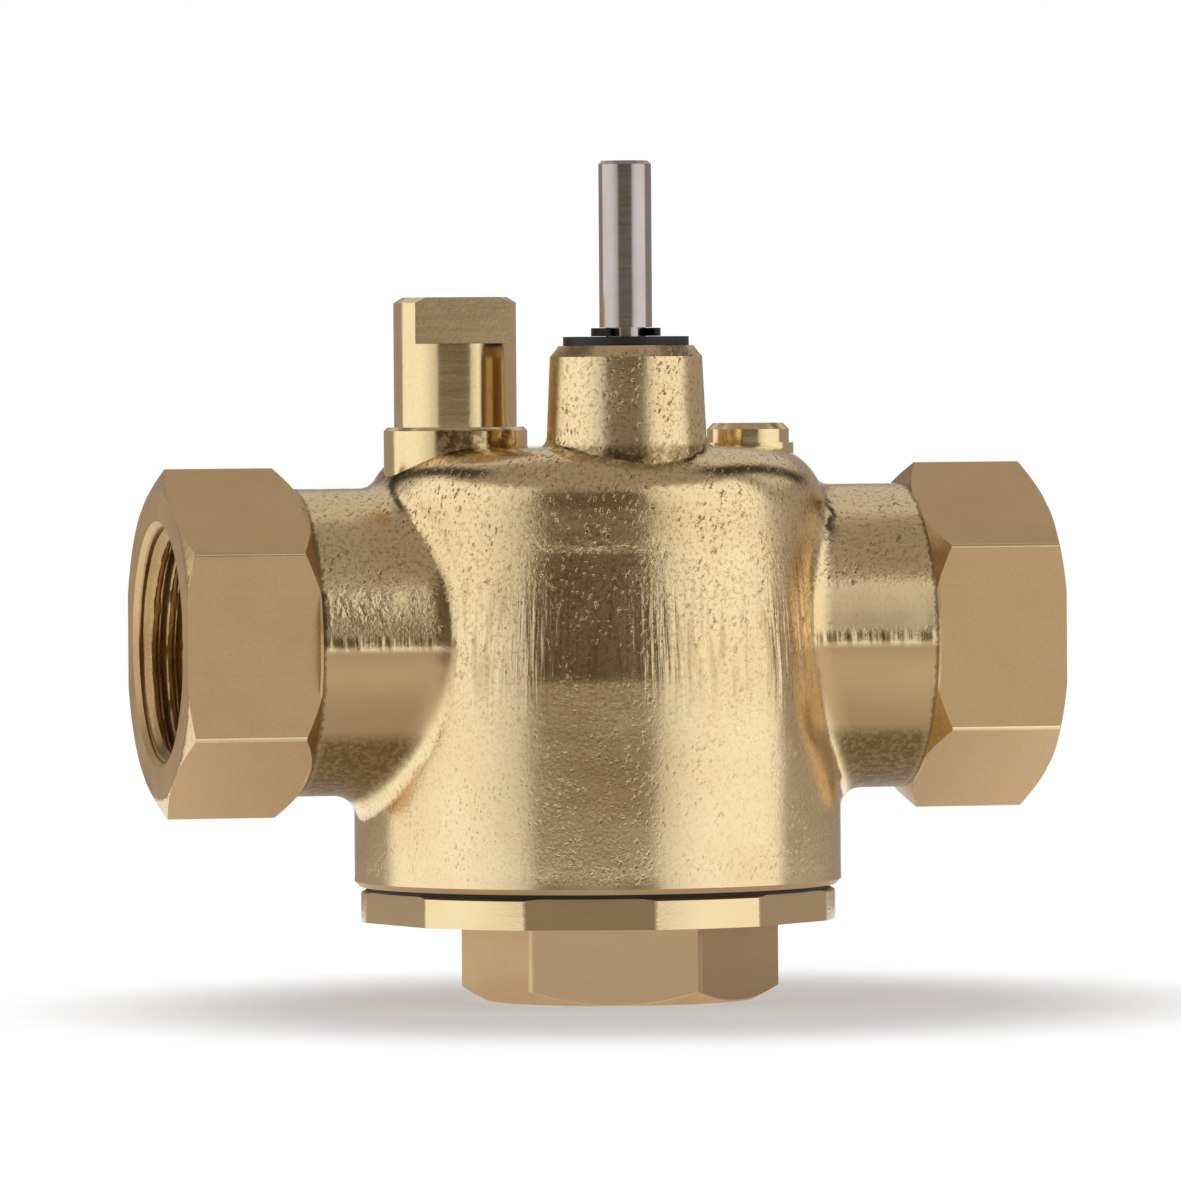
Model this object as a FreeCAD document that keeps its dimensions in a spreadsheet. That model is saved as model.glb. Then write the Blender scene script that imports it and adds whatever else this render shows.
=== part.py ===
import FreeCAD, Part
import math
import os
import Sketcher

# Three-way zone valve body: tapered barrel, two hex side ports, screwed bottom port,
# off-centre stem that swings a two-sided plug between the side ports.
# Frame: barrel axis is Z, side ports lie along X, bottom port face is Z = 0, front is -Y.

doc = FreeCAD.newDocument("three_way_valve")
sheet = doc.addObject("Spreadsheet::Sheet", "Sizes")

# Driving sizes in millimetres, angles in degrees
SIZES = {
    # Overall layout
    "face_to_face": 100.0,
    "port_axis_height": 40.2,
    "stem_setback": 14.5,
    # Barrel
    "barrel_base_height": 12.8,
    "barrel_radius": 27.2,
    "barrel_straight_height": 36.5,
    "barrel_taper": 2.1,
    "barrel_crown": 4.4,
    "barrel_top_round": 7.0,
    "barrel_base_chamfer": 0.6,
    # Side necks and hexes
    "neck_radius": 17.1,
    "neck_blend": 3.0,
    "hex_corner_radius": 19.5,
    "hex_front_half": 16.2,
    "hex_front_height": 20.5,
    "hex_length": 14.7,
    "hex_back_land": 0.3,
    "hex_back_slope_length": 2.1,
    "hex_corner_round": 0.6,
    "hex_face_circle": 17.0,
    "hex_face_chamfer": 1.0,
    # Ports
    "port_thread_radius": 13.2,
    "port_mouth_radius": 13.65,
    "port_mouth_depth": 0.6,
    "side_thread_depth": 15.0,
    # Stem boss
    "boss_base_radius": 8.9,
    "boss_top_radius": 8.45,
    "boss_height": 11.2,
    "boss_chamfer_width": 1.0,
    "boss_chamfer_height": 1.2,
    "boss_blend": 1.2,
    # Latch post
    "post_x": -16.4,
    "post_y": -1.8,
    "post_radius": 6.83,
    "post_height": 16.7,
    "post_chamfer_width": 1.0,
    "post_chamfer_height": 0.6,
    "post_flat_distance": 4.1,
    "post_flat_height": 5.15,
    "collar_radius": 8.0,
    "collar_height": 2.3,
    "collar_chamfer": 0.4,
    # Locating button
    "button_x": 17.2,
    "button_y": -1.8,
    "button_radius": 4.6,
    "button_height": 2.5,
    "button_chamfer": 0.7,
    "button_pad_radius": 5.1,
    "button_pad_height": 0.3,
    # Chamber
    "mouth_wall": 3.2,
    "chamber_step": 1.8,
    "roof_thickness": 4.7,
    "cap_thread_depth": 7.7,
    # Bottom cap
    "cap_turn": -16.0,
    "cap_port_offset": 2.4,
    "flange_base_height": 8.9,
    "gasket_thickness": 0.5,
    "flange_inset": 0.7,
    "flange_flat_depth": 1.05,
    "flange_chamfer_width": 0.4,
    "flange_chamfer_slope": 30.0,
    "bottom_hex_across_flats": 30.5,
    "bottom_hex_front_width": 18.9,
    "bottom_hex_corner_radius": 17.8,
    "bottom_hex_corner_round": 0.8,
    "bottom_hex_face_circle": 15.1,
    "bottom_hex_chamfer_slope": 30.0,
    "bottom_thread_depth": 11.0,
    "bottom_passage_radius": 11.0,
    "spigot_length": 7.2,
    "spigot_chamfer": 0.8,
    "gasket_width": 1.8,
    # Seats
    "seat_radius": 6.5,
    "seat_sleeve_radius": 9.5,
    "seat_flange_radius": 11.2,
    "seat_flange_thickness": 2.0,
    "seat_flange_face": 33.0,
    "seat_lip_radius": 8.3,
    "seat_lip_length": 1.2,
    "seat_flare": 2.6,
    # Stem
    "stem_radius": 2.92,
    "stem_rise": 20.4,
    "stem_top_chamfer": 0.4,
    "stem_flat_depth": 0.5,
    "stem_flat_length": 8.5,
    "journal_radius": 4.0,
    "thrust_shoulder": 1.5,
    "collar_thrust_thickness": 1.6,
    "thrust_washer_thickness": 0.95,
    "seal_groove_radius": 2.6,
    "seal_groove_width": 2.2,
    "seal_lower_rise": 3.4,
    "seal_pitch": 4.2,
    "seal_width": 1.9,
    "seal_round": 0.5,
    "ring_groove_radius": 2.2,
    "stem_foot_margin": 0.6,
    "slot_top_margin": 0.8,
    # Stem bush, washer and snap ring
    "bush_step": 1.0,
    "bush_length": 4.0,
    "washer_radius": 6.95,
    "washer_thickness": 1.0,
    "ring_radius": 3.85,
    "ring_thickness": 0.9,
    "ring_opening": 5.0,
    "ring_notch_radius": 0.55,
    "ring_notch_distance": 2.75,
    "ring_notch_angle": 62.0,
    # Paddle and plug
    "swing_angle": 22.0,
    "plate_thickness": 2.0,
    "plate_half_height": 6.0,
    "plate_tail_recess": 0.3,
    "pin_radius": 1.0,
    "pin_recess": 0.3,
    "plug_radius": 9.0,
    "rivet_radius": 1.5,
    "rivet_head_radius": 2.8,
    "rivet_head_seat": 7.5,
    "rivet_head_thickness": 0.9,
    # Clearances
    "running_gap": 0.05,
    "press_gap": 0.02,
    "thread_gap": 0.1,
    "washer_gap": 0.12,
    "axial_gap": 0.05,
    "seat_gap": 0.25,
}


class Dim:
    """A size that carries its number and the sheet expression it comes from."""

    def __init__(self, value, text):
        self.value = value
        self.text = text

    def joined(self, other, value, sign, turned=False):
        right = other.text if isinstance(other, Dim) else repr(other)
        first, second = (right, self.text) if turned else (self.text, right)
        return Dim(value, "(" + first + " " + sign + " " + second + ")")

    def __add__(self, other):
        return self.joined(other, self.value + number(other), "+")

    def __sub__(self, other):
        return self.joined(other, self.value - number(other), "-")

    def __mul__(self, other):
        return self.joined(other, self.value * number(other), "*")

    def __truediv__(self, other):
        return self.joined(other, self.value / number(other), "/")

    def __radd__(self, other):
        return self.joined(other, other + self.value, "+", True)

    def __rsub__(self, other):
        return self.joined(other, other - self.value, "-", True)

    def __rmul__(self, other):
        return self.joined(other, other * self.value, "*", True)

    def __neg__(self):
        return Dim(-self.value, "(0 - " + self.text + ")")


def number(value):
    return value.value if isinstance(value, Dim) else value


def sine(angle):
    return Dim(math.sin(math.radians(angle.value)), "sin(" + angle.text + " * 1deg)")


def cosine(angle):
    return Dim(math.cos(math.radians(angle.value)), "cos(" + angle.text + " * 1deg)")


def tangent(angle):
    return Dim(math.tan(math.radians(angle.value)), "tan(" + angle.text + " * 1deg)")


def root(size):
    return Dim(math.sqrt(size.value), "sqrt(" + size.text + ")")


def smaller(first, second):
    return Dim(min(first.value, second.value), "min(" + first.text + "; " + second.text + ")")


# Fill the sheet
for row, (alias, size) in enumerate(SIZES.items(), start=1):
    sheet.set("A" + str(row), alias)
    sheet.set("B" + str(row), str(size))
    sheet.setAlias("B" + str(row), alias)
doc.recompute()


def dim(alias):
    return Dim(float(sheet.get(alias)), "Sizes." + alias)


def bind(thing, prop, size):
    """Tie a property to a sheet expression, or set it when the size is a plain number."""
    if isinstance(size, Dim):
        thing.setExpression(prop, size.text)
    else:
        setattr(thing, prop, size)


def make_body(label):
    body = doc.addObject("PartDesign::Body", label)
    body.Label = label
    return body


def plane_of(body, role):
    for item in body.Origin.OriginFeatures:
        if item.Role == role:
            return item


def make_sketch(body, name, role, offset=(0, 0, 0)):
    """Sketch on one of the body's own planes, moved by an offset in that plane's axes."""
    sketch = body.newObject("Sketcher::SketchObject", name)
    sketch.AttachmentSupport = (plane_of(body, role), [""])
    sketch.MapMode = "FlatFace"
    start = FreeCAD.Vector(*[number(part) for part in offset])
    sketch.AttachmentOffset = FreeCAD.Placement(start, FreeCAD.Rotation())
    for letter, part in zip("xyz", offset):
        if isinstance(part, Dim):
            sketch.setExpression("AttachmentOffset.Base." + letter, part.text)
    return sketch


def hold(sketch, index, point, axis, size):
    """Fix one coordinate of a sketch point to a sheet expression."""
    if number(size) == 0:
        sketch.addConstraint(Sketcher.Constraint("PointOnObject", index, point, -2 if axis == "X" else -1))
        return
    made = sketch.addConstraint(
        Sketcher.Constraint("Distance" + axis, -1, 1, index, point, number(size))
    )
    if isinstance(size, Dim):
        sketch.setExpression("Constraints[" + str(made) + "]", size.text)


def draw_polygon(sketch, points):
    """Closed outline of straight lines with every corner held."""
    first = sketch.GeometryCount
    count = len(points)
    places = [FreeCAD.Vector(number(x), number(y), 0) for x, y in points]
    for index in range(count):
        sketch.addGeometry(Part.LineSegment(places[index], places[(index + 1) % count]), False)
    for index in range(count):
        after = (index + 1) % count
        sketch.addConstraint(Sketcher.Constraint("Coincident", first + index, 2, first + after, 1))
    for index, (x, y) in enumerate(points):
        hold(sketch, first + index, 1, "X", x)
        hold(sketch, first + index, 1, "Y", y)


def draw_circle(sketch, x, y, radius):
    centre = FreeCAD.Vector(number(x), number(y), 0)
    index = sketch.addGeometry(Part.Circle(centre, FreeCAD.Vector(0, 0, 1), number(radius)), False)
    made = sketch.addConstraint(Sketcher.Constraint("Radius", index, number(radius)))
    if isinstance(radius, Dim):
        sketch.setExpression("Constraints[" + str(made) + "]", radius.text)
    hold(sketch, index, 3, "X", x)
    hold(sketch, index, 3, "Y", y)


def draw_box(sketch, x0, x1, y0, y1):
    draw_polygon(sketch, [(x0, y0), (x1, y0), (x1, y1), (x0, y1)])


def turn(body, sketch, axis, cut=False):
    """Revolve a sketch round one of its own axes, adding to or cutting the body."""
    kind = "PartDesign::Groove" if cut else "PartDesign::Revolution"
    feature = body.newObject(kind, sketch.Name + "_turned")
    feature.Profile = (sketch, [""])
    feature.ReferenceAxis = (sketch, [axis])
    feature.Angle = 360
    sketch.Visibility = False
    body.Tip = feature
    doc.recompute()
    return feature


def extrude(body, sketch, length, cut=False, both=False, back=False):
    """Pad or pocket of a sketch, to one side or evenly to both."""
    kind = "PartDesign::Pocket" if cut else "PartDesign::Pad"
    feature = body.newObject(kind, sketch.Name + "_drawn")
    feature.Profile = (sketch, [""])
    feature.SideType = "Symmetric" if both else "One side"
    feature.Reversed = back
    bind(feature, "Length", length)
    sketch.Visibility = False
    body.Tip = feature
    doc.recompute()
    return feature


def mirror(body, feature):
    """Repeat a feature on the other side of the body's YZ plane."""
    made = body.newObject("PartDesign::Mirrored", feature.Name + "_mirrored")
    made.Originals = [feature]
    made.MirrorPlane = (plane_of(body, "YZ_Plane"), [""])
    body.Tip = made
    doc.recompute()
    return made


def edges_where(body, test):
    """Names of the edges whose sampled points all pass a test."""
    names = []
    for index, edge in enumerate(body.Tip.Shape.Edges, start=1):
        if all(test(point) for point in edge.discretize(7)):
            names.append("Edge" + str(index))
    return names


def round_edges(body, name, size, test):
    """Fillet the edges that pass a test."""
    base = body.Tip
    names = edges_where(body, test)
    feature = body.newObject("PartDesign::Fillet", name)
    feature.Base = (base, names)
    bind(feature, "Radius", size)
    body.Tip = feature
    doc.recompute()
    return feature


def near(first, second, within=0.02):
    return abs(first - second) < within


def hexagon(corner, half, side, x=0):
    """Corners of a hexagon: two on the X axis, and two flats of a half width facing the Y directions."""
    return [
        (x + corner, 0),
        (x + side, half),
        (x - side, half),
        (x - corner, 0),
        (x - side, -half),
        (x + side, -half),
    ]


# Sizes that several pieces share
half_length = dim("face_to_face") / 2
port_height = dim("port_axis_height")
stem_y = -dim("stem_setback")
barrel_top = port_height + dim("neck_radius") + dim("barrel_crown")
roof_height = barrel_top - dim("roof_thickness")
boss_top = barrel_top + dim("boss_height")
cap_thread = dim("barrel_radius") - dim("mouth_wall")
chamber_radius = cap_thread - dim("chamber_step")
journal_bore = dim("journal_radius") + dim("running_gap")
bush_radius = dim("journal_radius") + dim("bush_step")
thrust_radius = dim("journal_radius") + dim("thrust_shoulder")
flange_top = dim("barrel_base_height") - dim("gasket_thickness")
neck_end = half_length - dim("hex_length")
hex_start = neck_end - dim("hex_back_land")
bush_base = boss_top - dim("bush_length")
washer_top = boss_top + dim("washer_thickness")
arm_length = dim("stem_setback") / cosine(dim("swing_angle"))
plug_y = stem_y + arm_length
seat_reach = root(dim("plug_radius") * dim("plug_radius") - dim("seat_radius") * dim("seat_radius"))
seat_face = arm_length * sine(dim("swing_angle")) + seat_reach + dim("seat_gap")
seat_stop = dim("seat_flange_face") - dim("seat_flange_thickness")

# Valve body: barrel
valve_body = make_body("valve_body")
sketch = make_sketch(valve_body, "barrel", "YZ_Plane")
draw_polygon(sketch, [
    (0, dim("barrel_base_height")),
    (dim("barrel_radius") - dim("barrel_base_chamfer"), dim("barrel_base_height")),
    (dim("barrel_radius"), dim("barrel_base_height") + dim("barrel_base_chamfer")),
    (dim("barrel_radius"), dim("barrel_straight_height")),
    (dim("barrel_radius") - dim("barrel_taper"), barrel_top),
    (0, barrel_top),
])
turn(valve_body, sketch, "V_Axis")
top = number(barrel_top)
round_edges(valve_body, "barrel_shoulder", dim("barrel_top_round"), lambda p: near(p.z, top))

# Valve body: side necks, blended into the barrel
sketch = make_sketch(valve_body, "necks", "YZ_Plane", (0, port_height, 0))
draw_circle(sketch, 0, 0, dim("neck_radius"))
extrude(valve_body, sketch, neck_end * 2, both=True)
neck = number(dim("neck_radius"))
axis_z = number(port_height)
wide = number(dim("barrel_radius")) + 0.5
neck_room = (hex_start - dim("barrel_radius")) * 0.5
round_edges(
    valve_body, "neck_blends", smaller(dim("neck_blend"), neck_room),
    lambda p: near(math.hypot(p.y, p.z - axis_z), neck) and abs(p.x) < wide,
)

# Valve body: hex ports with rounded corners
sketch = make_sketch(valve_body, "hex_port", "YZ_Plane", (0, port_height, hex_start))
front_half = dim("hex_front_half")
front_rise = dim("hex_front_height") / 2
corner = dim("hex_corner_radius")
draw_polygon(sketch, [
    (0, corner),
    (-front_half, front_rise),
    (-front_half, -front_rise),
    (0, -corner),
    (front_half, -front_rise),
    (front_half, front_rise),
])
mirror(valve_body, extrude(valve_body, sketch, half_length - hex_start))
start_x = number(hex_start)
corner_points = [
    (0, number(corner)),
    (number(front_half), number(front_rise)),
]
round_edges(
    valve_body, "hex_corners", dim("hex_corner_round"),
    lambda p: abs(p.x) > start_x - 0.01 and any(
        near(abs(p.y), y) and near(abs(p.z - axis_z), z) for y, z in corner_points
    ),
)

# Valve body: turned chamfers on both ends of each hex
margin = 2.0
outer = corner + margin
neck_size = dim("neck_radius")
back_slope = dim("hex_back_slope_length") / (corner - neck_size)
face_slope = dim("hex_face_chamfer") / (corner - dim("hex_face_circle"))
face_back = half_length - (outer - dim("hex_face_circle")) * face_slope
sketch = make_sketch(valve_body, "hex_chamfers", "XZ_Plane", (0, port_height, 0))
for side in (1, -1):
    draw_polygon(sketch, [
        (hex_start * side, neck_size),
        ((hex_start + (outer - neck_size) * back_slope) * side, outer),
        (hex_start * side, outer),
    ])
    draw_polygon(sketch, [
        (half_length * side, dim("hex_face_circle")),
        (half_length * side, outer),
        (face_back * side, outer),
    ])
turn(valve_body, sketch, "H_Axis", cut=True)

# Valve body: stem boss
sketch = make_sketch(valve_body, "boss", "XZ_Plane", (0, 0, -stem_y))
boss_root = roof_height + dim("roof_thickness") / 4
draw_polygon(sketch, [
    (0, boss_root),
    (dim("boss_base_radius"), boss_root),
    (dim("boss_base_radius"), barrel_top),
    (dim("boss_top_radius"), boss_top - dim("boss_chamfer_height")),
    (dim("boss_top_radius") - dim("boss_chamfer_width"), boss_top),
    (0, boss_top),
])
turn(valve_body, sketch, "V_Axis")
boss_wide = number(dim("boss_base_radius"))
boss_y = number(stem_y)
round_edges(
    valve_body, "boss_blend", dim("boss_blend"),
    lambda p: near(math.hypot(p.x, p.y - boss_y), boss_wide, 0.05) and p.z > top - 4,
)

# Valve body: latch post on its collar
sketch = make_sketch(valve_body, "post", "XZ_Plane", (dim("post_x"), 0, -dim("post_y")))
collar_root = roof_height - dim("roof_thickness") / 4
collar_top = barrel_top + dim("collar_height")
post_top = barrel_top + dim("post_height")
draw_polygon(sketch, [
    (0, collar_root),
    (dim("collar_radius"), collar_root),
    (dim("collar_radius"), collar_top - dim("collar_chamfer")),
    (dim("collar_radius") - dim("collar_chamfer"), collar_top),
    (dim("post_radius"), collar_top),
    (dim("post_radius"), post_top - dim("post_chamfer_height")),
    (dim("post_radius") - dim("post_chamfer_width"), post_top),
    (0, post_top),
])
turn(valve_body, sketch, "V_Axis")

# Valve body: flat milled on the front of the post
sketch = make_sketch(
    valve_body, "post_flat", "XY_Plane", (dim("post_x"), dim("post_y"), post_top)
)
draw_box(
    sketch, -dim("collar_radius"), dim("collar_radius"),
    -dim("collar_radius"), -dim("post_flat_distance"),
)
extrude(valve_body, sketch, dim("post_flat_height"), cut=True)

# Valve body: locating button on its pad
sketch = make_sketch(valve_body, "button", "XZ_Plane", (dim("button_x"), 0, -dim("button_y")))
pad_top = barrel_top + dim("button_pad_height")
button_top = barrel_top + dim("button_height")
draw_polygon(sketch, [
    (0, roof_height),
    (dim("button_pad_radius"), roof_height),
    (dim("button_pad_radius"), pad_top),
    (dim("button_radius"), pad_top),
    (dim("button_radius"), button_top - dim("button_chamfer")),
    (dim("button_radius") - dim("button_chamfer"), button_top),
    (0, button_top),
])
turn(valve_body, sketch, "V_Axis")

# Valve body: chamber bored from below, with the cap thread
sketch = make_sketch(valve_body, "chamber", "XZ_Plane")
thread_top = dim("barrel_base_height") + dim("cap_thread_depth")
draw_polygon(sketch, [
    (0, dim("barrel_base_height") - margin),
    (cap_thread, dim("barrel_base_height") - margin),
    (cap_thread, thread_top),
    (chamber_radius, thread_top),
    (chamber_radius, roof_height),
    (0, roof_height),
])
turn(valve_body, sketch, "V_Axis", cut=True)

# Valve body: side port threads, seat recesses and passages
sketch = make_sketch(valve_body, "side_ports", "XZ_Plane", (0, port_height, 0))
mouth = dim("port_mouth_radius")
thread = dim("port_thread_radius")
thread_end = half_length - dim("side_thread_depth")
recess = dim("seat_flange_radius") + dim("press_gap")
sleeve_bore = dim("seat_sleeve_radius") + dim("press_gap")
right_bore = [
    (0, 0),
    (half_length + margin, 0),
    (half_length + margin, mouth),
    (half_length, mouth),
    (half_length - dim("port_mouth_depth"), thread),
    (thread_end, thread),
    (thread_end, recess),
    (seat_stop, recess),
    (seat_stop, sleeve_bore),
    (0, sleeve_bore),
]
left_bore = [(-x, y) for x, y in right_bore if number(x) > 0]
outline = right_bore[1:-1] + left_bore[::-1]
draw_polygon(sketch, outline)
turn(valve_body, sketch, "H_Axis", cut=True)

# Valve body: stem bore with the bush recess
sketch = make_sketch(valve_body, "stem_bore", "XZ_Plane", (0, 0, -stem_y))
bush_bore = bush_radius + dim("press_gap")
draw_polygon(sketch, [
    (0, roof_height - margin),
    (journal_bore, roof_height - margin),
    (journal_bore, bush_base),
    (bush_bore, bush_base),
    (bush_bore, boss_top + margin),
    (0, boss_top + margin),
])
turn(valve_body, sketch, "V_Axis", cut=True)

# Bottom cap: hex port
bottom_cap = make_body("bottom_cap")
bottom_cap.Placement = FreeCAD.Placement(
    FreeCAD.Vector(), FreeCAD.Rotation(FreeCAD.Vector(0, 0, 1), number(dim("cap_turn")))
)
bottom_cap.setExpression("Placement.Rotation.Angle", dim("cap_turn").text)
offset = dim("cap_port_offset")
sketch = make_sketch(bottom_cap, "bottom_hex", "XY_Plane")
hex_corner = dim("bottom_hex_corner_radius")
hex_half = dim("bottom_hex_across_flats") / 2
hex_side = dim("bottom_hex_front_width") / 2
draw_polygon(sketch, hexagon(hex_corner, hex_half, hex_side, offset))
extrude(bottom_cap, sketch, dim("flange_base_height"))
hex_middle = number(offset)
hex_points = [(number(hex_corner), 0), (number(hex_side), number(hex_half))]
round_edges(
    bottom_cap, "bottom_hex_corners", dim("bottom_hex_corner_round"),
    lambda p: any(near(abs(p.x - hex_middle), x) and near(abs(p.y), y) for x, y in hex_points),
)
sketch = make_sketch(bottom_cap, "bottom_hex_chamfer", "XZ_Plane", (offset, 0, 0))
face_circle = dim("bottom_hex_face_circle")
reach = hex_corner + margin
draw_polygon(sketch, [
    (face_circle, 0),
    (reach, 0),
    (reach, (reach - face_circle) * tangent(dim("bottom_hex_chamfer_slope"))),
])
turn(bottom_cap, sketch, "V_Axis", cut=True)

# Bottom cap: hex flange with turned corners
rim = dim("barrel_radius") - dim("flange_inset")
flange_flats = (rim - dim("flange_flat_depth")) * 2
sketch = make_sketch(bottom_cap, "flange", "XY_Plane", (0, 0, dim("flange_base_height")))
flange_corner = flange_flats / math.sqrt(3)
draw_polygon(sketch, hexagon(flange_corner, flange_flats / 2, flange_corner / 2))
extrude(bottom_cap, sketch, flange_top - dim("flange_base_height"))
sketch = make_sketch(bottom_cap, "flange_turning", "XZ_Plane")
rim_reach = flange_corner + margin
chamfer_drop = dim("flange_chamfer_width") * tangent(dim("flange_chamfer_slope"))
draw_polygon(sketch, [
    (rim - dim("flange_chamfer_width"), flange_top),
    (rim, flange_top - chamfer_drop),
    (rim, dim("flange_base_height")),
    (rim_reach, dim("flange_base_height")),
    (rim_reach, flange_top),
])
turn(bottom_cap, sketch, "V_Axis", cut=True)

# Bottom cap: threaded spigot
sketch = make_sketch(bottom_cap, "spigot", "XZ_Plane")
spigot_radius = cap_thread - dim("thread_gap")
spigot_top = dim("barrel_base_height") + dim("spigot_length")
draw_polygon(sketch, [
    (0, dim("flange_base_height")),
    (spigot_radius, dim("flange_base_height")),
    (spigot_radius, spigot_top - dim("spigot_chamfer")),
    (spigot_radius - dim("spigot_chamfer"), spigot_top),
    (0, spigot_top),
])
turn(bottom_cap, sketch, "V_Axis")

# Bottom cap: thread bore and passage
sketch = make_sketch(bottom_cap, "bottom_port", "XZ_Plane", (offset, 0, 0))
draw_polygon(sketch, [
    (0, -margin),
    (mouth, -margin),
    (mouth, 0),
    (thread, dim("port_mouth_depth")),
    (thread, dim("bottom_thread_depth")),
    (dim("bottom_passage_radius"), dim("bottom_thread_depth")),
    (dim("bottom_passage_radius"), spigot_top + margin),
    (0, spigot_top + margin),
])
turn(bottom_cap, sketch, "V_Axis", cut=True)


def make_ring(label, inner, outer, low, high, sketch_offset=(0, 0, 0)):
    """Plain ring turned round a vertical axis."""
    body = make_body(label)
    ring_sketch = make_sketch(body, label + "_section", "XZ_Plane", sketch_offset)
    draw_box(ring_sketch, inner, outer, low, high)
    turn(body, ring_sketch, "V_Axis")
    return body


# Cap gasket
gasket_bore = cap_thread + dim("thread_gap")
cap_gasket = make_ring(
    "cap_gasket", gasket_bore, gasket_bore + dim("gasket_width"),
    flange_top, dim("barrel_base_height"),
)


def make_seat(label, side):
    """Seat sleeve with a stop flange, a narrow sealing lip and a flared throat."""
    body = make_body(label)
    section = make_sketch(body, label + "_section", "XZ_Plane", (0, port_height, 0))
    lip_end = seat_face + dim("seat_lip_length")
    outline = [
        (seat_face, dim("seat_radius")),
        (seat_face, dim("seat_lip_radius")),
        (lip_end, dim("seat_sleeve_radius")),
        (seat_stop, dim("seat_sleeve_radius")),
        (seat_stop, dim("seat_flange_radius")),
        (dim("seat_flange_face"), dim("seat_flange_radius")),
        (dim("seat_flange_face"), dim("seat_radius") + dim("seat_flare")),
        (dim("seat_flange_face") - dim("seat_flare"), dim("seat_radius")),
    ]
    draw_polygon(section, [(x * side, y) for x, y in outline])
    turn(body, section, "H_Axis")
    return body


seat_left = make_seat("seat_left", -1)
seat_right = make_seat("seat_right", 1)

# Stem: turned profile
stem_place = (0, 0, -stem_y)
stem = make_body("stem")
sketch = make_sketch(stem, "stem_profile", "XZ_Plane", stem_place)
shaft = dim("stem_radius")
journal = dim("journal_radius")
groove = dim("seal_groove_radius")
groove_width = dim("seal_groove_width")
journal_top = bush_base - dim("axial_gap") * 4
thrust_top = roof_height - dim("thrust_washer_thickness") - dim("axial_gap")
thrust_base = thrust_top - dim("collar_thrust_thickness")
ring_base = washer_top + dim("axial_gap")
ring_groove_top = ring_base + dim("ring_thickness") + dim("axial_gap")
stem_top = boss_top + dim("stem_rise")
stem_foot = port_height - dim("plate_half_height") - dim("stem_foot_margin")
seal_lower = roof_height + dim("seal_lower_rise")
seal_upper = seal_lower + dim("seal_pitch")
draw_polygon(sketch, [
    (0, stem_foot),
    (journal, stem_foot),
    (journal, thrust_base),
    (thrust_radius, thrust_base),
    (thrust_radius, thrust_top),
    (journal, thrust_top),
    (journal, seal_lower),
    (groove, seal_lower),
    (groove, seal_lower + groove_width),
    (journal, seal_lower + groove_width),
    (journal, seal_upper),
    (groove, seal_upper),
    (groove, seal_upper + groove_width),
    (journal, seal_upper + groove_width),
    (journal, journal_top),
    (shaft, journal_top),
    (shaft, ring_base - dim("axial_gap")),
    (dim("ring_groove_radius"), ring_base - dim("axial_gap")),
    (dim("ring_groove_radius"), ring_groove_top),
    (shaft, ring_groove_top),
    (shaft, stem_top - dim("stem_top_chamfer")),
    (shaft - dim("stem_top_chamfer"), stem_top),
    (0, stem_top),
])
turn(stem, sketch, "V_Axis")

# Stem: slot for the plate, drive flat on the back, hole for the cross pin
sketch = make_sketch(stem, "stem_slot", "YZ_Plane")
draw_box(
    sketch, stem_y - journal * 2, stem_y + journal * 2,
    stem_foot - margin, port_height + dim("plate_half_height") + dim("slot_top_margin"),
)
extrude(stem, sketch, dim("plate_thickness") + dim("press_gap") * 2, cut=True, both=True)
sketch = make_sketch(stem, "stem_flat", "XY_Plane", (0, stem_y, stem_top))
draw_box(sketch, -shaft * 2, shaft * 2, shaft - dim("stem_flat_depth"), shaft * 2)
extrude(stem, sketch, dim("stem_flat_length"), cut=True)
pin_hole = dim("pin_radius") + dim("press_gap")
sketch = make_sketch(stem, "stem_pin_hole", "YZ_Plane", (stem_y, port_height, 0))
draw_circle(sketch, 0, 0, pin_hole)
extrude(stem, sketch, journal * 4, cut=True, both=True)

# Stem bush, thrust washer and dust washer
stem_bush = make_ring(
    "stem_bush", shaft + dim("running_gap"), bush_radius, bush_base, boss_top, stem_place
)
thrust_washer = make_ring(
    "thrust_washer", journal + dim("washer_gap"), thrust_radius,
    roof_height - dim("thrust_washer_thickness"), roof_height, stem_place,
)
dust_washer = make_ring(
    "dust_washer", shaft + dim("washer_gap"), dim("washer_radius"), boss_top, washer_top, stem_place
)


def make_seal(label, groove_base):
    """Round seal squeezed into a stem groove, resting in the middle of its width."""
    low = groove_base + (groove_width - dim("seal_width")) / 2
    body = make_ring(
        label, groove + dim("press_gap"), journal, low, low + dim("seal_width"), stem_place
    )
    round_edges(body, label + "_round", dim("seal_round"), lambda p: True)
    return body


stem_seal_lower = make_seal("stem_seal_lower", seal_lower)
stem_seal_upper = make_seal("stem_seal_upper", seal_upper)

# Snap ring: ring open at the front, with two relief notches
retaining_ring = make_body("retaining_ring")
ring_bore = dim("ring_groove_radius") + dim("press_gap")
sketch = make_sketch(retaining_ring, "ring_outline", "XY_Plane", (0, stem_y, ring_base))
draw_circle(sketch, 0, 0, ring_bore)
draw_circle(sketch, 0, 0, dim("ring_radius"))
extrude(retaining_ring, sketch, dim("ring_thickness"))
sketch = make_sketch(retaining_ring, "ring_mouth", "XY_Plane", (0, stem_y, ring_base))
half_opening = dim("ring_opening") / 2
draw_box(sketch, -half_opening, half_opening, -dim("ring_radius") * 2, 0)
extrude(retaining_ring, sketch, dim("ring_thickness"), cut=True, back=True)
sketch = make_sketch(retaining_ring, "ring_notches", "XY_Plane", (0, stem_y, ring_base))
notch_x = dim("ring_notch_distance") * sine(dim("ring_notch_angle"))
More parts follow.
